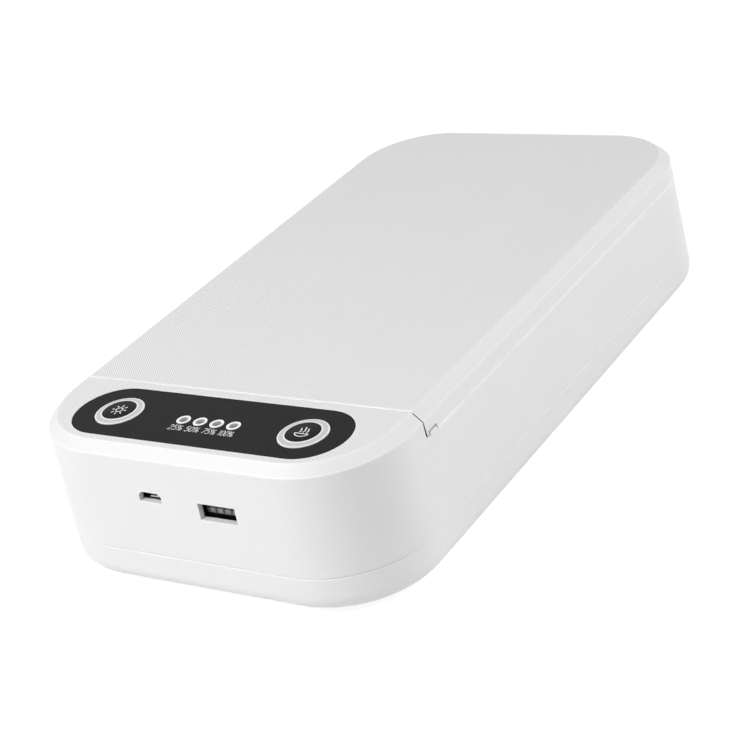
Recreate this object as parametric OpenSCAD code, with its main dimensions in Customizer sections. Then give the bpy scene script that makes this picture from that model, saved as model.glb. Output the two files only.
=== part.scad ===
// Sanitizer box for phones: a flared case with a fixed front deck, a hinged lid with two
// ultraviolet tubes, a chamber tray, a scent cup and two charging sockets.
// Millimetres. X runs across, Y from front to back, Z up from the surface it stands on.

/* [Case] */
// Width at the widest level
body_w = 117; // [112:0.5:124]
// Length from front to back
body_l = 215; // [208:0.5:226]
// Height of the case without its feet
case_h = 44; // [43:0.5:48]
// Plan radius of the corners at the widest level
corner_r = 28; // [26:0.5:29]
// Sideways lean of the walls for each millimetre of height
wall_lean = 0.04; // [0.02:0.005:0.045]
// Thickness of the case walls
wall_t = 1.8; // [1.6:0.1:2]
// Width of the bevel round the top
bevel_w = 3; // [2.6:0.1:3.2]
// Height of the bevel round the top
bevel_h = 2.7; // [2.5:0.1:2.9]
// Width of the rounding under the walls
round_w = 7.5; // [6:0.5:9]
// Height of the rounding under the walls
round_h = 5.8; // [4.5:0.1:7]
// Height of the bottom cover, up to its seam
cover_h = 11.7; // [11:0.1:12.5]
// Depth of the groove along the bottom seam
groove = 0.3; // [0.2:0.05:0.4]
// Height of the lip inside the bottom seam
lip_h = 2.2; // [1.5:0.1:3]
// Thickness of the lip inside the bottom seam
lip_t = 1.2; // [1:0.1:1.5]
// Clearance between parts that slip into each other
fit_gap = 0.2; // [0.1:0.05:0.3]

/* [Lid] */
// Length of the flat deck in front of the lid
deck_l = 29.8; // [29:0.1:31]
// Height of the lid's side
lid_h = 7.6; // [7.4:0.1:7.8]
// Gap between the lid and the deck
lid_gap = 0.4; // [0.3:0.05:0.6]
// Lean of the lid's front face, at its lower edge
lid_draft = 0.35; // [0.2:0.05:0.5]
// Gap between the lid and the rim
seam_gap = 0.3; // [0.2:0.05:0.4]
// Chamfer on the edges along the gaps
edge = 0.25; // [0.2:0.05:0.4]
// Length of the locating tabs on the rim
tab_l = 3.4; // [2:0.1:4]
// Distance of the locating tabs behind the lid's front face
tab_set = 1.8; // [1.4:0.1:2]
// Gap in front of the locating tabs
tab_gap = 0.8; // [0.6:0.1:1]
// Height of the locating tabs above the rim
tab_h = 0.85; // [0.5:0.05:0.9]
// Air over the locating tabs, for a fingernail
tab_air = 0.75; // [0.35:0.05:0.8]
// Thickness of the plate inside the lid
plate_t = 1.6; // [1.4:0.1:1.8]
// Height of the light trap rim below that plate
trap_h = 1.7; // [1.2:0.1:2]
// Thickness of the light trap rim
trap_t = 1.5; // [1.2:0.1:2]
// Play between the light trap rim and the chamber
trap_gap = 0.6; // [0.4:0.1:1]

/* [Hinge] */
// Radius of the lid's rolled rear edge about the hinge line
roll_r = 2.6; // [2.5:0.05:2.7]
// Radius of the hinge knuckles
knuckle_r = 2.2; // [2:0.05:2.3]
// Radius of the hinge pins
pin_r = 1; // [0.8:0.05:1.2]
// Clearance of the pins in the fixed knuckles
pin_play = 0.05; // [0.03:0.01:0.08]
// Distance of each hinge from the middle
hinge_x = 20; // [19:0.5:21]
// Width of each fixed knuckle
fixed_knuckle_w = 8; // [6:0.5:9]
// Width of each lid knuckle
lid_knuckle_w = 4; // [3:0.25:4.5]
// Side play of the knuckles
knuckle_gap = 0.2; // [0.15:0.05:0.3]
// Clearance of the lid round the fixed knuckles
hinge_air = 0.3; // [0.25:0.05:0.35]

/* [Panel] */
// Length of the dark control panel
panel_l = 89; // [84:0.5:92]
// Width of the dark control panel
panel_w = 24.2; // [22:0.2:25]
// Thickness of the control panel
panel_t = 1.1; // [0.9:0.1:1.2]
// Depth of the panel face below the deck
panel_sink = 0.1; // [0:0.05:0.2]
// Distance from the front edge of the flat deck to the panel's middle
panel_mid = 14.5; // [14.2:0.1:15]
// Thickness of the deck where it carries the panel
pad_t = 3; // [2.8:0.1:3.2]
// How far that thick part is wider and longer than the panel
pad_margin = 3; // [2:0.5:4]

/* [Buttons] */
// Distance of each button from the middle
button_x = 30.65; // [29:0.05:32]
// Radius of the buttons
button_r = 7; // [6.5:0.1:7.5]
// Clearance round the buttons
button_gap = 0.2; // [0.15:0.05:0.3]
// Height of the buttons above the deck
button_rise = 0.4; // [0.3:0.05:1]
// Radius of the dark disc in each button
disc_r = 4.88; // [4:0.02:5.5]
// Thickness of the dark disc
disc_t = 0.6; // [0.4:0.1:0.8]
// Wall thickness of the button caps
cap_t = 1.1; // [0.9:0.1:1.3]
// Width of the flange that keeps each button in
flange_w = 1.2; // [0.8:0.1:1.5]
// Thickness of that flange
flange_h = 1; // [0.8:0.1:1.2]
// Radius of the stem under each cap
stem_r = 2; // [1.5:0.1:2.5]
// Travel of the buttons
travel = 0.5; // [0.3:0.05:0.6]

/* [Lights] */
// Number of progress lights
light_count = 4; // [4:1:4]
// Distance between the progress lights
light_pitch = 5.55; // [5:0.05:6]
// Distance of the lights in front of the panel's middle
light_set = 0.45; // [0:0.05:1]
// Sideways place of the lights' middle
light_mid = 0.3; // [-0.5:0.05:0.5]
// Outer radius of the white light rings
ring_r = 2; // [1.9:0.05:2.3]
// Radius of the lenses
lens_r = 1.3; // [1.2:0.05:1.5]
// Height of the rings above the deck
ring_rise = 0.05; // [0.05:0.05:0.3]
// Radius of the lamps under the lenses
led_r = 1.5; // [1.3:0.05:1.6]
// Height of the lamps under the lenses
led_h = 4.6; // [4:0.1:5]

/* [Ports] */
// Sideways place of the large socket
usb_x = 11; // [9:0.5:13]
// Depth of the large socket's middle below the flat top
usb_drop = 16.05; // [15.9:0.05:16.2]
// Width of the large socket's cut-out
usb_w = 12.1; // [12.1:0.1:12.5]
// Height of the large socket's cut-out
usb_h = 4.9; // [4.7:0.1:5]
// Sideways place of the small socket
micro_x = -10.9; // [-13:0.1:-9]
// Depth of the small socket's middle below the flat top
micro_drop = 14; // [13.9:0.05:14.1]
// Width of the small socket's cut-out
micro_w = 7.6; // [7.4:0.1:7.8]
// Height of the small socket's cut-out
micro_h = 2.9; // [2.7:0.1:3]
// Slanted corner of the small socket's cut-out
micro_cut = 1.1; // [0.8:0.1:1.2]

/* [Chamber] */
// Depth of the chamber below the rim
chamber_h = 25; // [24.5:0.1:25.5]
// Thickness of the tray's walls
tray_t = 1.8; // [1.6:0.1:2]
// Thickness of the tray's flange
tray_flange_t = 2; // [1.8:0.1:2.2]
// Plan radius of the tray's corners
tray_r = 18; // [17:0.5:20]
// Rounding between the chamber's floor and its walls
tray_fillet = 1; // [0.8:0.1:1.2]
// Space for wires between the tray and the case
side_gap = 5; // [4.5:0.1:5.5]
// Width of the ledge that carries the tray
ledge_w = 2; // [1.5:0.1:2.5]
// Place of the ribs' middle along the box
rib_mid = 27; // [24:0.5:30]
// Number of phone rest ribs
rib_count = 6; // [4:1:8]
// Distance between the phone rest ribs
rib_pitch = 22; // [18:0.5:23]
// Length of the phone rest ribs
rib_l = 74; // [60:1:78]
// Height of the phone rest ribs
rib_h = 2.2; // [1.5:0.1:2.4]
// Thickness of the phone rest ribs
rib_t = 1.8; // [1.4:0.1:2.4]

/* [Tubes] */
// Distance of each ultraviolet tube from the middle
lamp_x = 24; // [22:0.5:26]
// Radius of the ultraviolet tubes
lamp_r = 2.2; // [2:0.05:2.4]
// Length of the ultraviolet tubes
lamp_l = 138; // [120:1:140]
// Place of the tubes' middle along the lid
lamp_y = 14; // [10:1:16]
// Width of the windows under the tubes
window_w = 12; // [11:0.5:13]
// Number of guard bars across each window
guard_count = 6; // [4:1:8]
// Thickness of the guard bars
guard_t = 1.2; // [1:0.1:1.6]
// Width of the rails beside each window
rail_w = 1.6; // [1.2:0.1:2]
// Thickness of the reflector sheets
reflector_t = 0.4; // [0.3:0.05:0.5]
// Length of the tube holders along the tube
holder_l = 6; // [5:0.5:8]
// Width of the tube holders
holder_w = 16; // [15:0.5:17]

/* [Scent cup] */
// Distance of the scent cup's middle from the chamber's front wall
scent_set = 17; // [16.5:0.5:20]
// Radius of the scent cup's flange
scent_r = 11.5; // [11:0.1:12.5]
// Outer radius of the scent cup
cup_r = 9.6; // [9:0.1:10]
// Height of the scent cup under the chamber's floor
cup_h = 5.4; // [5:0.1:5.6]
// Wall thickness of the scent cup
cup_t = 1.2; // [1:0.1:1.4]
// Thickness of the scent pad
felt_t = 3.8; // [3:0.1:3.9]
// Thickness of the scent cup's grille
grille_t = 1.1; // [0.9:0.1:1.2]
// Radius of the heater disc
heater_r = 7; // [6:0.1:8]
// Thickness of the heater disc
heater_t = 1.6; // [1.2:0.1:1.8]

/* [Boards] */
// Thickness of the circuit boards
board_t = 1.6; // [1.4:0.1:1.8]
// Distance of the main board in from the case's sides
board_in = 13.5; // [13:0.1:15.5]
// Depth of the main board
board_d = 26; // [25:0.5:26.5]
// Side of the key switches
key_w = 6; // [5.5:0.1:6.5]
// Height of the key switches
key_h = 3.6; // [3.4:0.1:3.8]
// Radius of the key plungers
plunger_r = 1.7; // [1.5:0.05:1.9]
// Clearance round the key plungers
plunger_gap = 0.05; // [0.03:0.01:0.08]
// Height of the key plungers above their switches
plunger_h = 1.4; // [1.2:0.1:1.6]
// Width of the tube driver board
driver_w = 52; // [48:1:54]
// Depth of the tube driver board
driver_d = 20; // [18:0.5:22]
// Sideways place of the tube driver board
driver_x = -14; // [-16:1:-10]
// Height of the posts under the driver board
driver_rise = 4; // [3:0.5:5]
// Side of the transformer
coil_w = 14; // [12:0.5:16]
// Height of the transformer
coil_h = 10; // [8:0.5:12]
// Radius of the wires
wire_r = 0.8; // [0.6:0.05:0.9]

/* [Fasteners] */
// Radius of the screw posts under the case
post_r = 3; // [2.7:0.1:3.2]
// Shank radius of the case screws
screw_r = 1.5; // [1.4:0.05:1.6]
// Clearance round the shanks of the screws
screw_gap = 0.2; // [0.1:0.05:0.3]
// Head radius of the case screws
head_r = 2.7; // [2.5:0.1:2.8]
// Head height of the case screws
head_h = 1.8; // [1.6:0.1:2]
// Shank radius of the small screws
small_screw_r = 1; // [0.9:0.05:1.1]
// Head radius of the small screws
small_head_r = 1.9; // [1.8:0.1:2.1]
// Head height of the small screws
small_head_h = 1.2; // [1:0.1:1.3]
// Head height of the flat lid screws
flat_head_h = 0.7; // [0.6:0.05:0.8]
// Radius of the posts for the small screws
small_post_r = 2.6; // [2.4:0.1:2.8]
// Depth of the case screws in their posts
thread_l = 2.6; // [2.2:0.1:3]
// Thickness of the cover's posts under the screw heads
boss_t = 3; // [2.5:0.1:3.5]
// Height of the split between the upper and lower posts, above the underside
post_level = 6.5; // [6:0.1:7]
// Distance of the tray posts in from the tray's sides
tray_post_in = 10.5; // [9:0.5:12]
// Distance of the front tray posts from the tray's front
front_post = 45.5; // [30:0.5:60]
// Distance of the rear tray posts from the tray's rear
rear_post = 27.5; // [24:0.5:32]
// Distance of the deck posts in from the case's sides
deck_post_in = 9; // [8.5:0.1:9.5]
// Distance of the lid posts in from the lid's sides
lid_post_in = 12.5; // [12:0.1:13]
// Distance of the front lid posts from the lid's front
lid_post_end = 12; // [10:0.5:14]
// Depth of the screws in the lid's posts
lid_thread = 2.2; // [2:0.1:2.4]
// Depth of the screws in the board's posts
board_thread = 4; // [3:0.5:5]
// Depth of the screws in the driver board's posts
driver_thread = 3; // [2.5:0.1:3.3]
// Distance of the rear board posts behind the panel's middle
board_post_y = 7; // [6.5:0.1:7.5]
// Distance of the magnets in from the case's sides
magnet_in = 10; // [9.6:0.1:10.2]
// Radius of the magnets
magnet_r = 2.5; // [2:0.1:2.6]
// Thickness of the magnets
magnet_t = 1.4; // [1.2:0.1:1.5]

/* [Feet] */
// Radius of the feet
foot_r = 7; // [6:0.5:7.5]
// Height of the feet below the case
foot_h = 1.5; // [1.2:0.1:2]
// Depth of the recesses that hold the feet
foot_sink = 0.6; // [0.4:0.1:0.8]
// Distance of the feet in from the case's sides
foot_in = 20.5; // [19.5:0.5:24]
// Distance of the feet in from the case's ends
foot_end = 23.5; // [22.5:0.5:29]

/* [Hidden] */
$fn = 48;

white_plastic = [0.93, 0.93, 0.93];
dark_panel = [0.21, 0.21, 0.21];
pale_ring = [0.83, 0.83, 0.83];
board_green = [0.1, 0.35, 0.2];
steel = [0.75, 0.75, 0.77];
rubber_grey = [0.35, 0.35, 0.35];
tube_glass = [0.8, 0.85, 0.95];
far = 300;
eps = 0.01;
miter = tan(22.5);

// Levels of the case
z_top = foot_h + case_h;
z_round = foot_h + round_h;
z_bevel = z_top - bevel_h;
z_cover = foot_h + cover_h;
z_seam = z_top - lid_h;
z_rim = z_seam - seam_gap / 2;
z_lid = z_seam + seam_gap / 2;
z_ledge = z_rim - tray_flange_t;
z_floor = z_rim - chamber_h;
function lean(z) = wall_lean * (z - z_round);
function inner(z) = lean(z) + wall_t;
flat_inset = lean(z_bevel) + bevel_w;

// Places along the length
y_flat = flat_inset - body_l / 2;
y_part = y_flat + deck_l;
y_step = y_part - lid_gap / 2;
y_lid = y_part + lid_gap / 2;
y_panel = y_flat + panel_mid;

// Hinge line, set so that the lid's rear edge rolls just above the rim
z_hinge = z_lid + roll_r;
y_hinge = body_l / 2 - lean(z_hinge) - roll_r;
pin_half = fixed_knuckle_w / 2 + knuckle_gap + lid_knuckle_w;

// Chamber tray
tray_w = body_w - 2 * (inner(z_ledge) + side_gap);
tray_front = y_step + 2 * ledge_w;
tray_rear = body_l / 2 - inner(z_ledge) - side_gap;
tray_l = tray_rear - tray_front;
tray_y = (tray_rear + tray_front) / 2;

// Deck, buttons and boards
z_pad = z_top - pad_t;
panel_seat = panel_t + panel_sink;
z_micro = z_top - micro_drop;
z_usb = z_top - usb_drop;
micro_shell_h = 2.5;
z_board = z_micro + micro_shell_h / 2;
z_parts = z_board + board_t;
y_board = -body_l / 2 + inner(z_board) + 6 * fit_gap;
board_w = body_w - 2 * board_in;
z_plunger = z_parts + key_h + plunger_h;
z_flange = z_pad - fit_gap / 2;
z_cap = z_top + button_rise;

// Sockets
usb_shell = [13.2, 14, 5.9];
usb_plate = 0.4;
micro_shell = [7.5, 5, micro_shell_h];
micro_plate = 0.3;
y_socket = -body_l / 2 + inner(z_usb + usb_h / 2) + fit_gap;

// Lid interior
z_ceiling = z_top - wall_t;
z_plate = z_lid + fit_gap;
z_plate_top = z_plate + plate_t;
z_lamp = z_plate + lamp_r - fit_gap;
z_reflector = z_ceiling - 1.5 * fit_gap;
lamp_end = lamp_l / 2;
plate_back = y_hinge - knuckle_r - 1;

// Case screws: four pull the tray down, two pull the deck down
z_post = foot_h + post_level;
tray_posts = [for (s = [-1, 1], y = [tray_front + front_post, tray_rear - rear_post])
    [s * (tray_w / 2 - tray_post_in), y]];
deck_posts = [for (s = [-1, 1]) [s * (body_w / 2 - deck_post_in), y_panel + board_post_y / 2]];
case_posts = concat(tray_posts, deck_posts);
lid_posts = [for (s = [-1, 1], y = [y_lid + lid_post_end, lamp_y, y_hinge - 2 * lid_post_end])
    [s * (body_w / 2 - lid_post_in), y]];
board_post_x = usb_x + (usb_shell[0] + board_post_y) / 2;
board_posts = [for (s = [-1, 1]) each [
    [s * (board_w - board_post_y) / 2, y_panel + board_post_y],
    [s * board_post_x, y_panel - board_post_y - 2]
]];
magnets = [for (s = [-1, 1]) [s * (body_w / 2 - magnet_in), tray_front + magnet_r + fit_gap / 2]];
feet = [for (t = [-1, 1], s = [-1, 1]) [s * (body_w / 2 - foot_in), t * (body_l / 2 - foot_end)]];

// Scent cup
scent = [0, tray_front + tray_t + scent_set];
z_cup = z_floor - cup_h;
cup_flange = 1;

// Tube driver
z_driver = foot_h + wall_t + driver_rise;
driver_y = y_panel + 2;
driver_posts = [for (s = [-1, 1]) [driver_x + s * (driver_w / 2 - 3), driver_y - driver_d / 2 + 3.5]];
coil_x = driver_x + 8;

// Elliptical rounding from a flat bottom up to a wall, as [inset, height] points
function rounding(w, h, z, shift = 0, steps = 8) =
    [for (i = [0:steps]) let (a = 90 * i / steps) [shift + w * (1 - sin(a)), z + h * (1 - cos(a))]];

// Upright block with round plan corners; each profile point is [inset, height]
module rounded_body(w, l, r, profile) {
    cx = w / 2 - r;
    cy = l / 2 - r;
    last = len(profile) - 1;
    wedge = concat([[0, profile[0][1]]], [for (p = profile) [r - p[0], p[1]]], [[0, profile[last][1]]]);
    slice = concat([for (p = profile) [l / 2 - p[0], p[1]]],
                   [for (i = [last:-1:0]) [profile[i][0] - l / 2, profile[i][1]]]);
    for (q = [[1, 1, 0], [-1, 1, 90], [-1, -1, 180], [1, -1, 270]])
        translate([q[0] * cx, q[1] * cy, 0]) rotate([0, 0, q[2]])
            rotate_extrude(angle = 90, $fn = 96) polygon(wedge);
    for (s = [0, 180])
        rotate([0, 0, s]) translate([cx, 0, 0]) rotate([90, 0, 0])
            linear_extrude(2 * cy, center = true) polygon(wedge);
    rotate([90, 0, 90]) linear_extrude(2 * cx, center = true) polygon(slice);
}

// Closed section of [inset, height] points swept round the same plan
module rounded_ring(w, l, r, section) {
    points = [for (p = section) [r - p[0], p[1]]];
    cx = w / 2 - r;
    cy = l / 2 - r;
    for (q = [[1, 1, 0], [-1, 1, 90], [-1, -1, 180], [1, -1, 270]])
        translate([q[0] * cx, q[1] * cy, 0]) rotate([0, 0, q[2]])
            rotate_extrude(angle = 90, $fn = 96) polygon(points);
    for (q = [[cx, cy, 0], [cy, cx, 90], [cx, cy, 180], [cy, cx, 270]])
        rotate([0, 0, q[2]]) translate([q[0], 0, 0]) rotate([90, 0, 0])
            linear_extrude(2 * q[1], center = true) polygon(points);
}

module case_body(profile) rounded_body(body_w, body_l, corner_r, profile);

// Everything behind a plane across the case, above a level
module behind(y, z = -1) translate([-far / 2, y, z]) cube([far, far, far]);

// Everything in front of a plane across the case
module before(y) translate([-far / 2, y - far, -1]) cube([far, far, far]);

// Bar along X with its section drawn in Y and Z
module bar(x0, x1, points)
    translate([x0, 0, 0]) rotate([90, 0, 90]) linear_extrude(x1 - x0) polygon(points);

// Round rod along X
module rod(x0, x1, y, z, r)
    translate([x0, y, z]) rotate([0, 90, 0]) cylinder(r = r, h = x1 - x0);

module at(places) for (p = places) translate([p[0], p[1], 0]) children();

module column(z0, z1, r) translate([0, 0, z0]) cylinder(r = r, h = z1 - z0);

// Long slot outline with round ends
module stadium(l, w)
    union() {
        square([l - w, w], center = true);
        for (s = [-1, 1]) translate([s * (l - w) / 2, 0]) circle(r = w / 2, $fn = 96);
    }

outer_case = [
    [lean(z_cover) + groove, z_cover], [lean(z_cover + groove), z_cover + groove],
    [lean(z_bevel), z_bevel], [flat_inset, z_top]
];
inner_case = [
    [inner(z_cover), z_cover], [inner(z_bevel - miter * wall_t), z_bevel - miter * wall_t],
    [flat_inset + miter * wall_t, z_ceiling]
];
z_ledge_low = z_ledge - 2;
z_ledge_root = z_ledge_low - ledge_w;
ledge_in = inner(z_ledge) + ledge_w;
root = 0.5;
ledge_section = [
    [inner(z_ledge) - root, z_ledge], [ledge_in, z_ledge], [ledge_in, z_ledge_low],
    [inner(z_ledge_root) - root, z_ledge_root - root]
];
rim_chamfer = [
    [lean(z_rim) - root, z_rim - edge - root], [lean(z_rim) + edge + root, z_rim + root],
    [-wall_t, z_rim + root], [-wall_t, z_rim - edge - root]
];
outer_lid = [
    [lean(z_lid) + edge, z_lid], [lean(z_lid + edge), z_lid + edge],
    [lean(z_bevel), z_bevel], [flat_inset, z_top]
];
inner_lid = [
    [inner(z_lid - 1), z_lid - 1], [inner(z_bevel - miter * wall_t), z_bevel - miter * wall_t],
    [flat_inset + miter * wall_t, z_ceiling]
];

// What is cleared behind the deck: all above the rim but the locating tabs, and the rim's outer edge
module rear_cut()
    difference() {
        union() {
            behind(y_step, z_rim);
            intersection() {
                rounded_ring(body_w, body_l, corner_r, rim_chamfer);
                behind(y_step);
            }
        }
        translate([-far / 2, y_lid + tab_set, z_cover]) cube([far, tab_l, z_rim + tab_h - z_cover]);
    }

module port_cuts() {
    deep = wall_t + flat_inset + 2;
    translate([usb_x - usb_w / 2, -body_l / 2 - 1, z_usb - usb_h / 2]) cube([usb_w, deep, usb_h]);
    translate([micro_x, -body_l / 2 - 1, z_micro]) rotate([90, 0, 180]) linear_extrude(deep) polygon([
        [-micro_w / 2, -micro_h / 2], [micro_w / 2, -micro_h / 2],
        [micro_w / 2, micro_h / 2 - micro_cut], [micro_w / 2 - micro_cut, micro_h / 2],
        [-micro_w / 2 + micro_cut, micro_h / 2], [-micro_w / 2, micro_h / 2 - micro_cut]
    ]);
}

light_xs = [for (i = [0:light_count - 1]) light_mid + (i - (light_count - 1) / 2) * light_pitch];
y_light = y_panel - light_set;

module deck_openings() {
    translate([0, y_panel, z_top - panel_seat]) linear_extrude(panel_seat + 1)
        stadium(panel_l + fit_gap, panel_w + fit_gap);
    for (s = [-1, 1]) translate([s * button_x, y_panel, 0])
        column(z_pad - 1, z_top, button_r + button_gap);
    for (x = light_xs) translate([x, y_light, 0]) column(z_pad - 1, z_top, lens_r + fit_gap);
}

// Fixed half of the hinges: knuckles on necks that grow out of the rear wall
module fixed_knuckles() {
    neck = 0.75 * knuckle_r;
    z_neck = z_rim - root;
    for (s = [-1, 1]) translate([s * hinge_x - fixed_knuckle_w / 2, 0, 0]) {
        rod(0, fixed_knuckle_w, y_hinge, z_hinge, knuckle_r);
        bar(0, fixed_knuckle_w, [
            [y_hinge - neck, z_hinge], [y_hinge + neck, z_hinge],
            [y_hinge + neck, z_neck], [body_l / 2 - inner(z_rim) + root, z_neck],
            [body_l / 2 - inner(z_ledge_low) + root, z_ledge_low - 2 * root], [y_hinge - neck, z_ledge_low]
        ]);
    }
}

// Slot through the ledge and the flange where the tube cable climbs to the hinge
cable_x = -8;
cable_slot_w = 4;
splice = [7, y_hinge - 6.5];
splice_r = 1.3;
splice_l = 4;
z_wire = z_plate_top + splice_r + 0.1;
module cable_slot(z0, z1) {
    half = cable_slot_w / 2;
    translate([cable_x - half, y_hinge - half, z0])
        cube([cable_slot_w, body_l / 2 - inner(z0) - y_hinge + half, z1 - z0]);
}

module main_housing() {
    color(white_plastic) difference() {
        union() {
            difference() {
                union() {
                    difference() {
                        case_body(outer_case);
                        case_body(inner_case);
                    }
                    intersection() {
                        case_body([
                            [inner(z_cover) - root, z_cover + root], [inner(z_bevel) - root, z_bevel - root],
                            [flat_inset + root, z_top - root]
                        ]);
                        union() {
                            bar(-far / 2, far / 2, [
                                [y_step - wall_t, z_ledge_low], [y_step + ledge_w, z_ledge_low],
                                [y_step + ledge_w, z_ledge], [y_step, z_ledge],
                                [y_step, z_top], [y_step - wall_t, z_top]
                            ]);
                            translate([0, y_panel, z_pad]) linear_extrude(pad_t)
                                stadium(panel_l + pad_margin, panel_w + pad_margin);
                            at(board_posts) column(z_parts, z_top, small_post_r);
                        }
                    }
                    intersection() {
                        rounded_ring(body_w, body_l, corner_r, ledge_section);
                        behind(y_step - wall_t);
                    }
                }
                rear_cut();
            }
            at(deck_posts) column(z_post, z_top - root, post_r);
            fixed_knuckles();
        }
        deck_openings();
        port_cuts();
        at(board_posts) column(z_parts - 1, z_parts + board_thread + 0.5, small_screw_r);
        at(deck_posts) column(z_post - 1, z_post + thread_l + 0.5, screw_r);
        for (x = [-hinge_x, hinge_x])
            rod(x - fixed_knuckle_w, x + fixed_knuckle_w, y_hinge, z_hinge, pin_r + pin_play);
        cable_slot(z_ledge_low - ledge_w - 1, z_rim + 1);
        bar(-far / 2, far / 2, [
            [y_step + eps, z_top - edge], [y_step + eps, z_top + eps], [y_step - edge, z_top + eps]
        ]);
    }
}

module bottom_cover() {
    lip_out = inner(z_cover + lip_h) + fit_gap;
    lip_in = lip_out + lip_t;
    color(white_plastic) difference() {
        union() {
            difference() {
                case_body(concat(rounding(round_w, round_h, foot_h), [
                    [lean(z_cover - groove), z_cover - groove], [lean(z_cover) + groove, z_cover],
                    [lip_out, z_cover], [lip_out, z_cover + lip_h]
                ]));
                case_body(concat(rounding(round_w - wall_t, round_h - wall_t, foot_h + wall_t, wall_t), [
                    [inner(z_cover - 3), z_cover - 3], [lip_in, z_cover - 1.5], [lip_in, z_cover + lip_h + 1]
                ]));
            }
            at(case_posts) column(foot_h + wall_t / 2, z_post, post_r + 1);
            at(driver_posts) column(foot_h + wall_t / 2, z_driver, small_post_r);
        }
        at(case_posts) {
            column(foot_h - 1, z_post + 1, screw_r + screw_gap);
            column(foot_h - 1, z_post - boss_t, head_r + 2 * screw_gap);
        }
        at(driver_posts) column(z_driver - driver_thread - 0.5, z_driver + 1, small_screw_r);
        at(feet) column(foot_h - 1, foot_h + foot_sink, foot_r + 0.1);
    }
}

module chamber_tray() {
    bore_w = tray_w - 2 * tray_t;
    bore_l = tray_l - 2 * tray_t;
    flange_in = inner(z_ledge) + fit_gap;
    color(white_plastic) difference() {
        union() {
            intersection() {
                case_body([[flange_in, z_ledge], [inner(z_rim) + fit_gap, z_rim]]);
                behind(y_step + fit_gap);
            }
            translate([0, tray_y, 0]) rounded_body(tray_w, tray_l, tray_r, concat(
                rounding(tray_fillet + tray_t, tray_fillet + tray_t, z_floor - tray_t), [[0, z_rim - 0.5]]));
            at(tray_posts) column(z_post, z_floor - tray_t / 2, post_r);
        }
        difference() {
            translate([0, tray_y, 0]) rounded_body(bore_w, bore_l, tray_r - tray_t, concat(
                rounding(tray_fillet, tray_fillet, z_floor), [[0, z_rim + 1]]));
            for (i = [0:rib_count - 1])
                translate([0, rib_mid + (i - (rib_count - 1) / 2) * rib_pitch, z_floor - 1]) {
                    translate([-rib_l / 2, -rib_t / 2, 0]) cube([rib_l, rib_t, rib_h + 1]);
                    for (s = [-1, 1]) translate([s * rib_l / 2, 0, 0]) cylinder(d = rib_t, h = rib_h + 1);
                }
        }
        at(tray_posts) column(z_post - 1, z_post + thread_l + 0.5, screw_r);
        at([scent]) column(z_floor - tray_t - 1, z_floor + 1, cup_r + fit_gap);
        at(magnets) column(z_rim - magnet_t, z_rim + 1, magnet_r + 0.05);
        for (s = [-1, 1])
            translate([s * hinge_x - fixed_knuckle_w / 2 - fit_gap, y_hinge - knuckle_r, z_ledge - 1])
                cube([fixed_knuckle_w + 2 * fit_gap, far, tray_flange_t + 2]);
        cable_slot(z_ledge - 1, z_rim + 1);
    }
}

module lid_shell() {
    notch_w = fixed_knuckle_w + 2 * hinge_air;
    color(white_plastic) difference() {
        union() {
            intersection() {
                difference() {
                    case_body(outer_lid);
                    case_body(inner_lid);
                }
                behind(y_lid);
            }
            intersection() {
                case_body(outer_lid);
                union() {
                    translate([-far / 2, y_lid, z_lid]) cube([far, wall_t, far]);
                    at(lid_posts) column(z_plate_top, z_top, small_post_r);
                    for (s = [-1, 1], t = [-1, 1])
                        translate([s * hinge_x + t * (fixed_knuckle_w / 2 + knuckle_gap + lid_knuckle_w / 2)
                                   - lid_knuckle_w / 2, 0, 0]) {
                            rod(0, lid_knuckle_w, y_hinge, z_hinge, knuckle_r);
                            translate([0, y_hinge - knuckle_r, z_hinge])
                                cube([lid_knuckle_w, knuckle_r + roll_r, z_ceiling - z_hinge + 0.5]);
                        }
                }
            }
        }
        // The rear edge below the hinge line is rolled about it
        difference() {
            behind(y_hinge, z_hinge - far);
            rod(-far / 2, far / 2, y_hinge, z_hinge, roll_r);
        }
        for (s = [-1, 1]) translate([s * hinge_x - notch_w / 2, 0, 0]) {
            rod(0, notch_w, y_hinge, z_hinge, knuckle_r + hinge_air);
            translate([0, y_hinge - roll_r, z_lid - 1])
                cube([notch_w, far, z_hinge - z_lid + 1 + knuckle_r + hinge_air]);
        }
        translate([cable_x - 1.5, y_hinge - 2, z_lid - 1])
            cube([3, far, z_hinge - z_lid + 1 + wire_r + 2 * hinge_air]);
        rod(cable_x, splice[0] + 2, y_hinge, z_hinge, wire_r + hinge_air);
        for (s = [-1, 1])
            rod(s * hinge_x - pin_half - 1, s * hinge_x + pin_half + 1, y_hinge, z_hinge, pin_r);
        at(lid_posts) column(z_plate_top - 1, z_plate_top + lid_thread + 0.3, small_screw_r);
        for (s = [0, 1]) mirror([s, 0, 0])
            translate([body_w / 2 - inner(z_lid) - fit_gap, y_lid + tab_set - tab_gap, z_lid - 1])
                cube([far, tab_l + tab_gap + fit_gap, 1 + z_rim + tab_h + tab_air - z_lid]);
        bar(-far / 2, far / 2, [
            [y_lid - eps, z_top - edge], [y_lid - eps, z_top + eps], [y_lid + edge, z_top + eps]
        ]);
        bar(-far / 2, far / 2, [
            [y_lid - eps, z_lid - eps], [y_lid - eps, z_bevel],
            [y_lid, z_bevel], [y_lid + lid_draft, z_lid - eps]
        ]);
    }
}

// One lamp window outline, grown by a margin
module window(margin)
    translate([-window_w / 2 - margin, lamp_y - lamp_end - 1 - margin, 0])
        square([window_w + 2 * margin, lamp_l + 2 + 2 * margin]);

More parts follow.
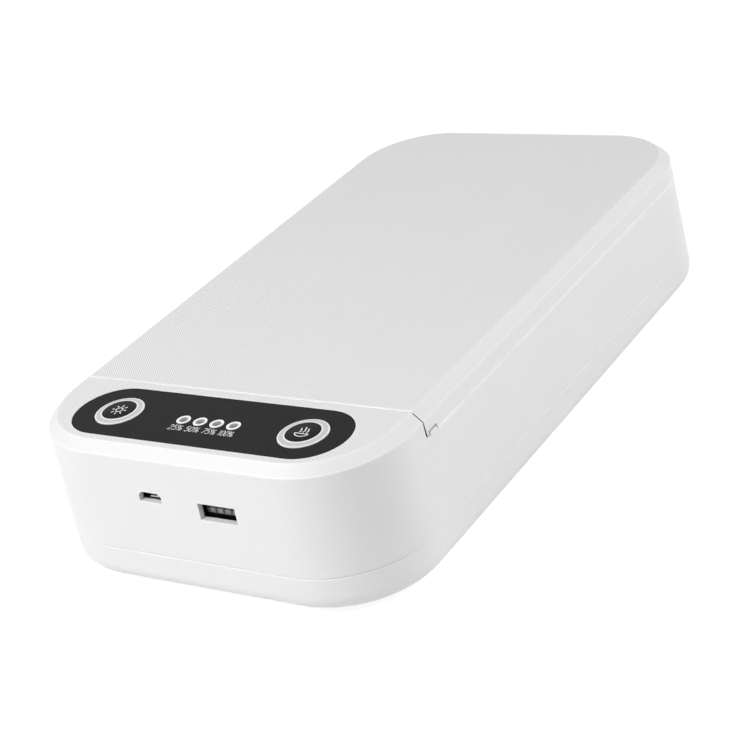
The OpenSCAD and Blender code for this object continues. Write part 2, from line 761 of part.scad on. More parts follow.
module lid_plate() {
    clear = tray_t + trap_gap;
    z_trap = z_plate - trap_h;
    guard_pitch = lamp_l / (guard_count + 1);
    color(white_plastic) difference() {
        union() {
            intersection() {
                case_body([[inner(z_plate) + fit_gap, z_plate], [inner(z_plate_top) + fit_gap, z_plate_top]]);
                behind(y_lid + wall_t + fit_gap);
                before(plate_back);
            }
            difference() {
                translate([0, tray_y, 0]) rounded_body(tray_w - 2 * clear, tray_l - 2 * clear, tray_r - clear,
                    [[edge, z_trap], [0, z_trap + edge], [0, z_plate + 0.5]]);
                translate([0, tray_y, 0]) rounded_body(tray_w - 2 * clear, tray_l - 2 * clear, tray_r - clear,
                    [[trap_t, z_trap - 1], [trap_t, z_plate + 1]]);
            }
            for (s = [-1, 1]) translate([s * lamp_x, 0, z_trap]) linear_extrude(trap_h + 0.5) window(rail_w);
        }
        for (s = [-1, 1]) translate([s * lamp_x, 0, 0]) difference() {
            translate([0, 0, z_trap - 1]) linear_extrude(far) window(0);
            for (i = [1:guard_count])
                translate([-window_w, lamp_y - lamp_end + i * guard_pitch - guard_t / 2, z_trap])
                    cube([2 * window_w, guard_t, guard_t]);
        }
        at(lid_posts) {
            column(z_plate - 1, z_plate_top + 1, small_screw_r + screw_gap / 2);
            column(z_plate - 1, z_plate + flat_head_h, small_head_r + 0.2);
        }
        at(magnets) column(z_plate - 1, z_plate + magnet_t, magnet_r + 0.05);
    }
}

module uv_tube(s)
    color(tube_glass) translate([s * lamp_x, lamp_y - lamp_end, z_lamp]) rotate([-90, 0, 0])
        cylinder(r = lamp_r, h = lamp_l);

// Bent sheet trough above a tube, with feet on the plate
module reflector(s) {
    top_w = 4.5;
    foot_w = window_w / 2 + 0.6;
    lip_w = 2.2;
    length = lamp_l - 2 * holder_l - 2;
    half = [[top_w, z_reflector], [foot_w, z_plate_top + reflector_t],
            [foot_w + lip_w, z_plate_top + reflector_t], [foot_w + lip_w, z_plate_top],
            [foot_w - reflector_t, z_plate_top], [top_w - reflector_t / 2, z_reflector - reflector_t]];
    color(steel) translate([s * lamp_x, lamp_y + length / 2, 0]) rotate([90, 0, 0]) linear_extrude(length)
        polygon(concat(half, [for (i = [len(half) - 1:-1:0]) [-half[i][0], half[i][1]]]));
}

// Soft block that carries one end of a tube, seated on the plate's window edges
module tube_holder(s, t) {
    y0 = lamp_y + t * (lamp_end - holder_l / 2) - holder_l / 2;
    color("whitesmoke") difference() {
        union() {
            translate([s * lamp_x - holder_w / 2, y0, z_plate_top])
                cube([holder_w, holder_l, z_ceiling - fit_gap - z_plate_top]);
            translate([s * lamp_x - window_w / 2 + fit_gap, y0, z_plate])
                cube([window_w - 2 * fit_gap, holder_l, plate_t + 0.5]);
        }
        translate([s * lamp_x, y0 - 1, z_lamp]) rotate([-90, 0, 0]) cylinder(r = lamp_r, h = holder_l + 2);
    }
}

module lid_screws()
    color(steel) at(lid_posts) {
        column(z_plate + 0.1, z_plate + flat_head_h, small_head_r);
        column(z_plate + flat_head_h - eps, z_plate_top + lid_thread, small_screw_r);
    }

module lid_magnets() color(steel) at(magnets) column(z_plate + 0.05, z_plate + magnet_t, magnet_r);

module rim_magnets() color(steel) at(magnets) column(z_rim - magnet_t, z_rim - 0.05, magnet_r);

module hinge_pin(s)
    color(steel) rod(s * hinge_x - pin_half, s * hinge_x + pin_half, y_hinge, z_hinge, pin_r);

// Wire swept along a list of points, with rings carried from one point to the next
function unit(v) = v / norm(v);
function reversed(v) = [for (i = [len(v) - 1:-1:0]) v[i]];
function carry(t, u, i = 0) =
    i == len(t) ? [] : let (v = unit(u - (u * t[i]) * t[i])) concat([v], carry(t, v, i + 1));
module wire(points, r, side = [0.3, 0.2, 1], sides = 8) {
    n = len(points);
    t = [for (i = [0:n - 1]) unit(points[min(i + 1, n - 1)] - points[max(i - 1, 0)])];
    u = carry(t, side);
    rings = [for (i = [0:n - 1]) for (k = [0:sides - 1])
        let (a = 360 * k / sides) points[i] + r * (cos(a) * u[i] + sin(a) * cross(t[i], u[i]))];
    walls = [for (i = [0:n - 2]) for (k = [0:sides - 1])
        let (p = i * sides + k, q = i * sides + (k + 1) % sides)
        each [[p, p + sides, q], [q, p + sides, q + sides]]];
    ends = [[for (k = [0:sides - 1]) k], [for (k = [sides - 1:-1:0]) (n - 1) * sides + k]];
    polyhedron(rings, concat(walls, ends));
}

// Quarter bends by formula, and points on the case's rear corner
function bend(c, r, u, v, steps = 5) =
    [for (i = [0:steps]) let (a = 90 * i / steps) c + r * (sin(a) * u - cos(a) * v)];

z_run = foot_h + 18.5;
x_run = -(body_w / 2 - inner(z_run) - side_gap / 2);
y_run = body_l / 2 - inner(z_run) - side_gap / 2;
r_run = corner_r - inner(z_run) - side_gap / 2;
plug_x = driver_x - driver_w / 2 + 6;
plug_y = driver_y + driver_d / 2 - 4;
z_plug = z_driver + board_t;

module tube_cable()
    color("dimgray") wire(concat(
        [[plug_x, plug_y, z_plug], [plug_x, plug_y, z_plug + 4], [plug_x - 2, plug_y + 1, z_plug + 7],
         [(plug_x + x_run) / 2, plug_y + 5, (z_plug + 8 + z_run) / 2], [x_run + 2.5, plug_y + 10, z_run - 1],
         [x_run + 0.6, plug_y + 14, z_run], [x_run, plug_y + 19, z_run], [x_run, 0, z_run]],
        [for (i = [0:8]) let (a = 90 * i / 8)
            [x_run + r_run * (1 - cos(a)), y_run - r_run * (1 - sin(a)), z_run]],
        [[cable_x - 12, y_run, z_run], [cable_x - 5, y_run, z_run + 1], [cable_x - 1.6, y_run, z_run + 4],
         [cable_x, y_run, z_run + 8], [cable_x, y_hinge, z_ledge_low - 4]],
        bend([cable_x + 2.4, y_hinge, z_hinge - 2.4], 2.4, [0, 0, 1], [1, 0, 0]),
        [[-fit_gap / 2, y_hinge, z_hinge]]
    ), wire_r);

module lid_wiring() {
    y_back = lamp_y + lamp_end;
    y_front = lamp_y - lamp_end;
    z_solder = z_lamp + 0.8;
    link = [[0, 0], [0, 1], [1.2, 3], [5, 4.4], [10, 4.8]];
    color("dimgray") {
        union() {
            wire([[fit_gap / 2, y_hinge, z_hinge], [splice[0] - 2.6, y_hinge, z_hinge],
                  [splice[0] - 0.8, y_hinge - 0.8, z_hinge + 0.1], [splice[0], y_hinge - 2.4, z_hinge + 0.3],
                  [splice[0], splice[1] + 2, z_wire], [splice[0], splice[1] - 1, z_wire]], wire_r);
            translate([splice[0], splice[1], z_wire]) rotate([90, 0, 0]) cylinder(r = splice_r, h = splice_l);
            for (s = [-1, 1])
                wire([[splice[0] + s * 0.3, splice[1] - splice_l + 1, z_wire],
                      [splice[0] + s * 0.6, splice[1] - splice_l - 1.5, z_wire],
                      [splice[0] + s * 3, splice[1] - splice_l - 3.5, z_wire],
                      [s * (lamp_x - 5), y_back + 4.4, z_wire], [s * (lamp_x - 1.4), y_back + 3, z_solder],
                      [s * lamp_x, y_back + 1, z_solder], [s * lamp_x, y_back, z_solder]], wire_r * 0.8);
        }
        wire([for (s = [1, -1]) for (p = s > 0 ? link : reversed(link))
              [s * (lamp_x - p[0]), y_front - p[1], z_solder]], wire_r);
    }
}

module base_wiring() {
    x_up = driver_x - 4;
    y_up = driver_y + driver_d / 2 - 3;
    x_heat = driver_x + driver_w / 2 - 8;
    y_heat = scent[1] - heater_r;
    z_heat = z_cup - heater_t / 2;
    color("dimgray") {
        wire([[x_up, y_up, z_plug], [x_up, y_up, z_plug + 5], [x_up + 1, y_up, (z_plug + z_board) / 2],
              [x_up, y_up, z_board - 5], [x_up, y_up, z_board]], wire_r, [1, 0.2, 0]);
        wire([[x_heat, y_up, z_plug], [x_heat, y_up, z_plug + 1], [x_heat, y_up + 0.5, z_plug + 2.5],
              [x_heat - 0.6, y_up + 3, z_plug + 3.6], [x_heat - 2, y_up + 9, z_heat - 1],
              [scent[0] + 6, y_heat - 4, z_heat - 0.4], [scent[0], y_heat - 1, z_heat],
              [scent[0], y_heat, z_heat]], wire_r * 0.8);
    }
}

module control_panel()
    color(dark_panel) translate([0, y_panel, z_top - panel_seat]) linear_extrude(panel_t) difference() {
        stadium(panel_l, panel_w);
        for (s = [-1, 1]) translate([s * button_x, 0]) circle(r = button_r + button_gap);
        for (x = light_xs) translate([x, -light_set]) circle(r = ring_r + 0.03);
    }

// Button cap of revolution: cone, seat for the disc, skirt, keeper flange and stem
module push_button(s) {
    z_seat = z_cap - disc_t;
    color(pale_ring) translate([s * button_x, y_panel, 0]) rotate_extrude($fn = 72) polygon([
        [button_r, z_flange], [button_r, z_top], [disc_r + 0.2, z_cap], [disc_r + 0.03, z_cap],
        [disc_r + 0.03, z_seat], [0, z_seat], [0, z_plunger], [stem_r, z_plunger], [stem_r, z_seat - cap_t],
        [button_r - cap_t, z_seat - cap_t], [button_r - cap_t, z_flange - flange_h],
        [button_r + flange_w, z_flange - flange_h], [button_r + flange_w, z_flange]
    ]);
}

module button_disc(s)
    color(dark_panel) translate([s * button_x, y_panel, 0]) column(z_cap - disc_t, z_cap, disc_r);

module key_plunger(s)
    color("black") translate([s * button_x, y_panel, 0]) column(z_parts + key_h / 2, z_plunger, plunger_r);

module key_switch(s)
    color("black") translate([s * button_x, y_panel, 0]) difference() {
        translate([-key_w / 2, -key_w / 2, z_parts]) cube([key_w, key_w, key_h]);
        column(z_parts + key_h / 2 - travel - 0.1, z_parts + key_h + 1, plunger_r + plunger_gap);
    }

module light_rings()
    color("white") for (x = light_xs) translate([x, y_light, 0]) difference() {
        column(z_top - panel_seat, z_top + ring_rise, ring_r);
        column(z_top - panel_seat - 1, z_top + ring_rise + 1, lens_r + 0.04);
    }

// Light pipe with a domed end, from just above its lamp to the panel
module lens(x) {
    dome = 2 * lens_r;
    color([0.75, 0.75, 0.75]) translate([x, y_light, 0]) intersection() {
        column(z_parts + led_h + 0.3, z_top + 1, lens_r);
        translate([0, 0, z_top + ring_rise - 0.05 - dome]) union() {
            sphere(r = dome);
            translate([0, 0, -far]) cylinder(r = dome, h = far);
        }
    }
}

module led(x)
    color("white") translate([x, y_light, 0]) {
        column(z_parts, z_parts + 0.9, led_r + 0.3);
        column(z_parts + 0.5, z_parts + led_h - led_r, led_r);
        translate([0, 0, z_parts + led_h - led_r]) sphere(r = led_r);
    }

module main_board() {
    side = board_w / 2;
    corner = [12, 8.4];
    y_rear = y_board + board_d;
    color(board_green) difference() {
        translate([0, 0, z_board]) linear_extrude(board_t) polygon([
            [corner[0] - side, y_board], [side - corner[0], y_board], [side, y_board + corner[1]],
            [side, y_rear], [-side, y_rear], [-side, y_board + corner[1]]
        ]);
        at(board_posts) column(z_board - 1, z_parts + 1, small_screw_r + screw_gap / 2);
    }
}

module board_screws()
    color(steel) at(board_posts) {
        column(z_board - small_head_h, z_board, small_head_r);
        column(z_board - eps, z_parts + board_thread, small_screw_r);
    }

// Position sensor of the lid, under the deck's rear edge
module lid_sensor() {
    size = [4, 3, 1.6];
    color("black") translate([button_x + size[1], y_board + board_d - size[1] - 0.5, z_parts]) cube(size);
}

// Rectangular sheet metal sleeve, open at the front
module sleeve(size, wall) difference() {
    translate([-size[0] / 2, 0, -size[2] / 2]) cube(size);
    translate([-size[0] / 2 + wall, -1, -size[2] / 2 + wall])
        cube([size[0] - 2 * wall, size[1] + 1 - wall, size[2] - 2 * wall]);
}

// Sleeve of the large socket with its four solder legs
module usb_a_shell() {
    leg_w = 1.6;
    leg_ys = [3.2, 10.2];
    color(steel) translate([usb_x, y_socket, z_usb]) union() {
        sleeve(usb_shell, usb_plate);
        for (s = [-1, 1], y = leg_ys)
            translate([s * (usb_shell[0] - usb_plate) / 2 - usb_plate / 2, y, 0])
                cube([usb_plate, leg_w, z_board - z_usb]);
    }
}

// Contact tongue of a socket, seen from its mouth, on a block that fills the sleeve's rear end
module tongue(shell, plate, block_l, size, set_back, z_low) {
    rear = shell[1] - plate;
    block = [shell[0] - 2 * plate, block_l, shell[2] - 2 * plate];
    translate([-block[0] / 2, rear - block_l, -block[2] / 2]) cube(block);
    translate([-size[0] / 2, set_back, z_low]) cube([size[0], rear - set_back, size[1]]);
}

module usb_a_tongue()
    color([0.25, 0.25, 0.25]) translate([usb_x, y_socket, z_usb])
        tongue(usb_shell, usb_plate, block_l = 3, size = [11.1, 1.6], set_back = 0.8, z_low = -1.75);

module micro_usb_shell()
    color(steel) translate([micro_x, y_socket, z_micro]) sleeve(micro_shell, micro_plate);

module micro_usb_tongue()
    color([0.15, 0.15, 0.15]) translate([micro_x, y_socket, z_micro])
        tongue(micro_shell, micro_plate, block_l = 1, size = [3.8, 0.6], set_back = 0.6, z_low = -0.35);

module driver_board()
    color(board_green) difference() {
        translate([driver_x - driver_w / 2, driver_y - driver_d / 2, z_driver])
            cube([driver_w, driver_d, board_t]);
        at(driver_posts) column(z_driver - 1, z_driver + board_t + 1, small_screw_r + screw_gap / 2);
    }

// Coil former with its winding between two square cheeks
module transformer() {
    cheek = 1.6;
    color([0.85, 0.75, 0.2]) translate([coil_x, driver_y, z_driver + board_t]) union() {
        for (z = [0, coil_h - cheek]) translate([-coil_w / 2, -coil_w / 2, z]) cube([coil_w, coil_w, cheek]);
        cylinder(d = coil_w - cheek, h = coil_h);
    }
}

module driver_screws()
    color(steel) at(driver_posts) {
        column(z_driver + board_t, z_driver + board_t + small_head_h, small_head_r);
        column(z_driver - driver_thread, z_driver + board_t + eps, small_screw_r);
    }

module scent_cup()
    color(white_plastic) at([scent]) difference() {
        union() {
            column(z_floor, z_floor + cup_flange, scent_r);
            column(z_cup, z_floor + eps, cup_r);
        }
        column(z_cup + cup_t, z_floor + cup_flange + 1, cup_r - cup_t);
    }

module scent_pad()
    color([0.85, 0.85, 0.8]) at([scent]) column(z_cup + cup_t, z_cup + cup_t + felt_t, cup_r - cup_t - 0.3);

// Slotted cap with a short collar that plugs into the cup
module scent_grille() {
    slots = 5;
    slot_w = 1.4;
    slot_end = cup_r - 2 * cup_t - 0.2;
    z_cap_low = z_floor + cup_flange;
    color(white_plastic) at([scent]) difference() {
        union() {
            column(z_cap_low, z_cap_low + grille_t, scent_r - 0.8);
            difference() {
                column(z_floor - 0.3, z_cap_low + 0.1, cup_r - cup_t - fit_gap / 2);
                column(z_floor - 1, z_cap_low + 1, cup_r - 2 * cup_t);
            }
        }
        for (i = [0:slots - 1]) let (x = (i - (slots - 1) / 2) * 2 * slot_w)
            translate([x, 0, z_cap_low - 0.5]) linear_extrude(grille_t + 1)
                rotate(90) stadium(2 * sqrt(slot_end * slot_end - x * x), slot_w);
    }
}

module scent_heater() color("tan") at([scent]) column(z_cup - heater_t, z_cup, heater_r);

module cover_screws()
    color(steel) at(case_posts) {
        column(z_post - boss_t - head_h, z_post - boss_t, head_r);
        column(z_post - boss_t - eps, z_post + thread_l, screw_r);
    }

module foot(i) {
    step = 0.5;
    color(rubber_grey) at([feet[i]]) union() {
        column(0, foot_h + foot_sink, foot_r - step);
        column(step, foot_h + foot_sink, foot_r);
    }
}

main_housing();
bottom_cover();
chamber_tray();
lid_shell();
lid_plate();
uv_tube(-1);  // uv_tube_left
uv_tube(1);  // uv_tube_right
reflector(-1);  // reflector_left
reflector(1);  // reflector_right
tube_holder(-1, -1);  // tube_holder_front_left
tube_holder(1, -1);  // tube_holder_front_right
tube_holder(-1, 1);  // tube_holder_rear_left
tube_holder(1, 1);  // tube_holder_rear_right
lid_screws();
lid_magnets();
rim_magnets();
hinge_pin(-1);  // hinge_pin_left
hinge_pin(1);  // hinge_pin_right
tube_cable();
lid_wiring();
base_wiring();
control_panel();
push_button(-1);  // sterilize_button
push_button(1);  // scent_button
button_disc(-1);  // sterilize_disc
button_disc(1);  // scent_disc
key_plunger(-1);  // sterilize_plunger
key_plunger(1);  // scent_plunger
key_switch(-1);  // sterilize_switch
key_switch(1);  // scent_switch
light_rings();
lens(light_xs[0]);  // lens_25
lens(light_xs[1]);  // lens_50
lens(light_xs[2]);  // lens_75
lens(light_xs[3]);  // lens_100
led(light_xs[0]);  // led_25
led(light_xs[1]);  // led_50
led(light_xs[2]);  // led_75
led(light_xs[3]);  // led_100
main_board();
board_screws();
lid_sensor();
usb_a_shell();
usb_a_tongue();
micro_usb_shell();
micro_usb_tongue();
driver_board();
transformer();
driver_screws();
scent_cup();
scent_pad();
scent_grille();
scent_heater();
cover_screws();
foot(0);  // foot_front_left
foot(1);  // foot_front_right
foot(2);  // foot_rear_left
foot(3);  // foot_rear_right
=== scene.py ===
"""Looks of the sanitizer box: camera, studio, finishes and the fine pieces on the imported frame."""

import math

import bmesh
import bpy
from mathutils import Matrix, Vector


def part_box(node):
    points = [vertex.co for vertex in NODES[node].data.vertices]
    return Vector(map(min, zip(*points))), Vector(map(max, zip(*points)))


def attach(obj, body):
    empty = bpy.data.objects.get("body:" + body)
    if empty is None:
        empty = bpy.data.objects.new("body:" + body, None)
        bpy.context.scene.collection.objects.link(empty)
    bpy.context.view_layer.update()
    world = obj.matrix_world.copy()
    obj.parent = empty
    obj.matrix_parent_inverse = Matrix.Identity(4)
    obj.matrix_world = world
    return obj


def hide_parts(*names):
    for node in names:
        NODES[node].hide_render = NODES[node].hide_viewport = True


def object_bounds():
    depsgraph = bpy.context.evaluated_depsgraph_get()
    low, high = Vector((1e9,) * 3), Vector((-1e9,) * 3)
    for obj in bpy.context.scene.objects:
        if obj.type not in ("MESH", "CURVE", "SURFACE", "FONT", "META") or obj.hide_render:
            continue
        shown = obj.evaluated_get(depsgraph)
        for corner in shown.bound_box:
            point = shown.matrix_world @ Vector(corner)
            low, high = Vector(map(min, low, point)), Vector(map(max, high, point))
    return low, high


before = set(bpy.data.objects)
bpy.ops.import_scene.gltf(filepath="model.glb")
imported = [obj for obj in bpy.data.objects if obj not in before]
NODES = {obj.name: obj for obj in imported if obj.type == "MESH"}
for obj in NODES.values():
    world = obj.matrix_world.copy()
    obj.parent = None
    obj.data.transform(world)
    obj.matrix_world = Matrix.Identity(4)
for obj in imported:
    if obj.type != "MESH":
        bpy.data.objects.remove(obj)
cad_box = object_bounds()
MM = 0.001
WHITE = (1, 1, 1, 1)

# Camera, fitted to the straight edges of the photograph: metres, degrees and millimetres of lens
CAMERA_PLACE = (0.30701, -0.41698, 0.27234)
CAMERA_TURN = (62.86526, 11.87046, 31.41466)
CAMERA_LENS = 92.22
CAMERA_SENSOR = 36.0

# Studio, in metres and watts; FLOOR_SHADE is the tone of what takes the shadow, under a white glow.
# AMBIENT is the world's light on the object, where 1 is white; the lamps all point at LOOK_AT.
FLOOR_SIZE = 8.0
FLOOR_TONE = 0.8
FLOOR_ROUGH = 0.9
FLOOR_SHADE = 0.3
FLOOR_GLOW = 0.86
AMBIENT = 0.2
LAMPS = [
    {"name": "near_softbox", "place": (-0.3, -0.6, 0.6), "size": (0.5, 0.4), "power": 4.4},
    {"name": "low_front_softbox", "place": (-0.9, -1.3, 0.25), "size": (1.0, 0.6), "power": 2.85},
    {"name": "rear_right_softbox", "place": (1.35, 0.95, 0.8), "size": (1.3, 1.0), "power": 7.6},
    {"name": "rear_edge_softbox", "place": (1.2, 1.56, 0.5), "size": (0.6, 0.3), "power": 7.6},
    {"name": "high_right_softbox", "place": (1.0, -0.2, 1.0), "size": (0.8, 0.8), "power": 4.0},
]
LOOK_AT = (0.0, 0.0, 0.03)


# ---------------------------------------------------------------- node trees

class Nodes:
    """A node tree, with short calls for the nodes that the world, the floor and the finishes share."""

    def __init__(self, tree):
        self.tree = tree

    def node(self, kind, inputs=(), **settings):
        """New node; each input takes a plain value or the output of another node."""
        made = self.tree.nodes.new(kind)
        for key, value in settings.items():
            setattr(made, key, value)
        for socket, value in dict(inputs).items():
            if isinstance(value, bpy.types.NodeSocket):
                self.tree.links.new(value, made.inputs[socket])
            else:
                made.inputs[socket].default_value = value
        return made

    def math(self, operation, a, b=0.0):
        return self.node("ShaderNodeMath", {0: a, 1: b}, operation=operation).outputs[0]

    def length(self, across, along):
        """Length of the line that goes so far across and so far along."""
        squares = self.math("MULTIPLY", across, across), self.math("MULTIPLY", along, along)
        return self.math("SQRT", self.math("ADD", *squares))

    def rise(self, value, first, last):
        """0 up to first, 1 from last on, and even in between."""
        inputs = {"Value": value, "From Min": first, "From Max": last}
        return self.node("ShaderNodeMapRange", inputs).outputs[0]

    def between(self, factor, low, high):
        """A number that goes from low to high with factor."""
        inputs = {"Value": factor, "To Min": low, "To Max": high}
        return self.node("ShaderNodeMapRange", inputs).outputs[0]

    def seen(self):
        """1 for rays that the camera, a reflection or a clear piece sends, else 0."""
        path = self.node("ShaderNodeLightPath").outputs
        mirrored = self.math("MAXIMUM", path["Is Glossy Ray"], path["Is Transmission Ray"])
        return self.math("MAXIMUM", path["Is Camera Ray"], mirrored)


# How alike the rounded and the flat normal are where an edge starts to show, and where it shows most
EDGE_LEAST = 0.998
EDGE_MOST = 0.985
EDGE_SAMPLES = 6
# Least upward part of the normal of a level face
LEVEL = 0.995
# Distance between the ridges of Blender's wave texture at scale 1
WAVE_PITCH = math.pi / 10


class Shader(Nodes):
    """One material's nodes round its Principled BSDF."""

    def __init__(self, name, colour, roughness, metallic=0.0, **sockets):
        self.material = bpy.data.materials.new(name)
        self.material.use_nodes = True
        super().__init__(self.material.node_tree)
        self.surface = self.tree.nodes["Principled BSDF"]
        self.surface.inputs["Base Color"].default_value = (*colour, 1.0)
        self.surface.inputs["Roughness"].default_value = roughness
        self.surface.inputs["Metallic"].default_value = metallic
        for socket, value in sockets.items():
            self.surface.inputs[socket.replace("_", " ")].default_value = value
        self.place = self.node("ShaderNodeTexCoord").outputs["Object"]

    def feed(self, socket, output):
        """Links an output to a socket of the surface."""
        self.tree.links.new(output, self.surface.inputs[socket])

    def spot(self):
        """The X, Y and Z of the place on the piece, in metres."""
        return self.node("ShaderNodeSeparateXYZ", {0: self.place}).outputs

    def noise(self, grain, detail=3.0):
        """Noise with features about grain metres across, from 0 to 1."""
        inputs = {"Vector": self.place, "Scale": 1 / grain, "Detail": detail}
        return self.node("ShaderNodeTexNoise", inputs).outputs["Fac"]

    def bands(self, pitch, turn=(0, 0, 0), wobble=0.0):
        """Parallel ridges a pitch apart, across the X axis of a frame turned by those degrees."""
        angles = [math.radians(a) for a in turn]
        turned = self.node("ShaderNodeMapping", {"Vector": self.place, "Rotation": angles}).outputs[0]
        inputs = {"Vector": turned, "Scale": WAVE_PITCH / pitch, "Distortion": wobble}
        return self.node("ShaderNodeTexWave", inputs).outputs["Fac"]

    def from_axis(self, centre):
        """Distance from an upright line, in metres, with the left and right halves alike."""
        spot = self.spot()
        across = self.math("SUBTRACT", self.math("ABSOLUTE", spot["X"]), centre[0])
        return self.length(across, self.math("SUBTRACT", spot["Y"], centre[1]))

    def soften(self, radius, worn):
        """Rounds each edge for the light, and returns 1 on a strip along the edges and 0 on the faces."""
        self.feed("Normal", self.node("ShaderNodeBevel", {"Radius": radius}).outputs[0])
        wide = self.node("ShaderNodeBevel", {"Radius": worn}, samples=EDGE_SAMPLES).outputs[0]
        flat = self.node("ShaderNodeNewGeometry").outputs["Normal"]
        alike = self.node("ShaderNodeVectorMath", {0: wide, 1: flat}, operation="DOT_PRODUCT")
        return self.rise(alike.outputs["Value"], EDGE_LEAST, EDGE_MOST)

    def up_facing(self):
        """1 on faces that look straight up in the piece's own frame, else 0."""
        normal = self.node("ShaderNodeTexCoord").outputs["Normal"]
        upward = self.node("ShaderNodeSeparateXYZ", {0: normal}).outputs["Z"]
        return self.math("GREATER_THAN", upward, LEVEL)

    def tint(self, factor, low, high):
        """Base colour that goes from low to high with factor."""
        inputs = {"Factor": factor, "A": (*low, 1), "B": (*high, 1)}
        self.feed("Base Color", self.node("ShaderNodeMix", inputs, data_type="RGBA").outputs["Result"])

    def rough(self, factor, low, high):
        """Roughness that goes from low to high with factor."""
        self.feed("Roughness", self.between(factor, low, high))

    def bump(self, height, depth):
        """Relief of that depth in metres, laid over any relief given before."""
        normal = self.surface.inputs["Normal"]
        before = {"Normal": normal.links[0].from_socket} if normal.links else {}
        inputs = {"Height": height, "Distance": depth, **before}
        self.feed("Normal", self.node("ShaderNodeBump", inputs).outputs[0])


def grey(value):
    return (value, value, value)


# ---------------------------------------------------------------- studio

def make_camera():
    """Camera at the photograph's viewing angle."""
    data = bpy.data.cameras.new("camera")
    data.lens = CAMERA_LENS
    data.sensor_width = CAMERA_SENSOR
    camera = bpy.data.objects.new("camera", data)
    camera.location = CAMERA_PLACE
    camera.rotation_euler = [math.radians(a) for a in CAMERA_TURN]
    bpy.context.scene.collection.objects.link(camera)
    bpy.context.scene.camera = camera


def make_world():
    """Even white light, faint on the object and full to the camera and to reflections."""
    world = bpy.data.worlds.new("world")
    bpy.context.scene.world = world
    world.use_nodes = True
    nodes = Nodes(world.node_tree)
    background = nodes.tree.nodes["Background"]
    background.inputs["Color"].default_value = WHITE
    nodes.tree.links.new(nodes.between(nodes.seen(), AMBIENT, 1.0), background.inputs["Strength"])


def make_lamps():
    """Soft rectangular lamps round the object."""
    for lamp in LAMPS:
        data = bpy.data.lights.new(lamp["name"], "AREA")
        data.shape = "RECTANGLE"
        data.size, data.size_y = lamp["size"]
        data.energy = lamp["power"]
        made = bpy.data.objects.new(lamp["name"], data)
        made.location = lamp["place"]
        aim = Vector(LOOK_AT) - Vector(lamp["place"])
        made.rotation_euler = aim.to_track_quat("-Z", "Y").to_euler()
        bpy.context.scene.collection.objects.link(made)


def make_floor():
    """Pale floor: white to the camera and to reflections, but for the shadow of the object."""
    mesh = bpy.data.meshes.new("floor")
    made = bmesh.new()
    bmesh.ops.create_grid(made, x_segments=1, y_segments=1, size=FLOOR_SIZE / 2)
    made.to_mesh(mesh)
    made.free()
    floor = bpy.data.objects.new("floor", mesh)
    bpy.context.scene.collection.objects.link(floor)
    s = Shader("floor", grey(FLOOR_TONE), FLOOR_ROUGH)
    lit = s.node("ShaderNodeBsdfDiffuse", {"Color": (*grey(FLOOR_SHADE), 1)})
    glow = s.node("ShaderNodeEmission", {"Color": WHITE, "Strength": FLOOR_GLOW})
    shown = s.node("ShaderNodeAddShader", {0: lit.outputs[0], 1: glow.outputs[0]})
    blend = s.node("ShaderNodeMixShader", {"Fac": s.seen(), 1: s.surface.outputs[0], 2: shown.outputs[0]})
    s.tree.links.new(blend.outputs[0], s.tree.nodes["Material Output"].inputs["Surface"])
    mesh.materials.append(s.material)


# ---------------------------------------------------------------- finishes

# Edges of the white plastic: how far their light is rounded and how wide a strip along them gets a lower
# roughness and a painted highlight, and the heights between which that strip fades in
EDGE_R = 0.35 * MM
EDGE_POLISH_AND_HIGHLIGHT = 0.8 * MM
POLISH_AND_HIGHLIGHT_LOW = 18 * MM
POLISH_AND_HIGHLIGHT_HIGH = 30 * MM
WORN_ROUGH = 0.2
# Grain of the white plastic and the wider patches over it, with their shares of its tone
GRAIN = 0.35 * MM
GRAIN_RELIEF = 0.012 * MM
GRAIN_TONES = (0.955, 1.045)
CLOUDS = 30 * MM
CLOUD_TONES = (0.985, 1.01)
GLOSS_CLOUDS = 9 * MM
GLOSS = (0.38, 0.5)
# Diagonal hatch of the flat top: its pitch, turn in degrees and relief, its shares of the tone between
# the lines and on them, the height above which it shows, and how strong it is on the deck
HATCH_PITCH = 0.577 * MM
HATCH_TURN = -46.4
HATCH_RELIEF = 0.03 * MM
HATCH_TONES = (1.13, 0.845)
HATCH_ABOVE = 44 * MM
DECK_HATCH = 0.68


def satin_white(name, tone, hatched=False):
    """Moulded white plastic with a fine satin grain, and the diagonal hatch on its flat top."""
    s = Shader(name, grey(tone), 0.42, IOR=1.47)
    grain = s.noise(GRAIN)
    spot = s.spot()
    # Strip along the edges, fading in with height; it gets a lower roughness and a painted highlight
    edges = s.math("MULTIPLY", s.soften(EDGE_R, EDGE_POLISH_AND_HIGHLIGHT), s.rise(spot["Z"], POLISH_AND_HIGHLIGHT_LOW, POLISH_AND_HIGHLIGHT_HIGH))
    s.rough(edges, s.between(s.noise(GLOSS_CLOUDS), *GLOSS), WORN_ROUGH)
    shade = tone
    if hatched:
        flat = s.math("MULTIPLY", s.up_facing(), s.math("GREATER_THAN", spot["Z"], HATCH_ABOVE))
        on_lid = s.math("GREATER_THAN", spot["Y"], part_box("lid_shell")[0].y)
        depth = s.math("MULTIPLY", flat, s.between(on_lid, DECK_HATCH, 1.0))
        lines = s.bands(HATCH_PITCH, (0, 0, HATCH_TURN))
        s.bump(s.math("MULTIPLY", lines, depth), HATCH_RELIEF)
        lift = s.math("MULTIPLY", s.between(lines, HATCH_TONES[0] - 1, HATCH_TONES[1] - 1), depth)
        shade = s.math("MULTIPLY", s.math("ADD", lift, 1.0), tone)
    shade = s.math("MULTIPLY", shade, s.between(s.noise(CLOUDS), *CLOUD_TONES))
    shade = s.math("MULTIPLY", shade, s.between(grain, *GRAIN_TONES))
    # Painted highlight: the tone goes towards white on the strip along the edges
    s.feed("Base Color", s.between(edges, shade, 1.0))
    s.bump(grain, GRAIN_RELIEF)
    return s.material


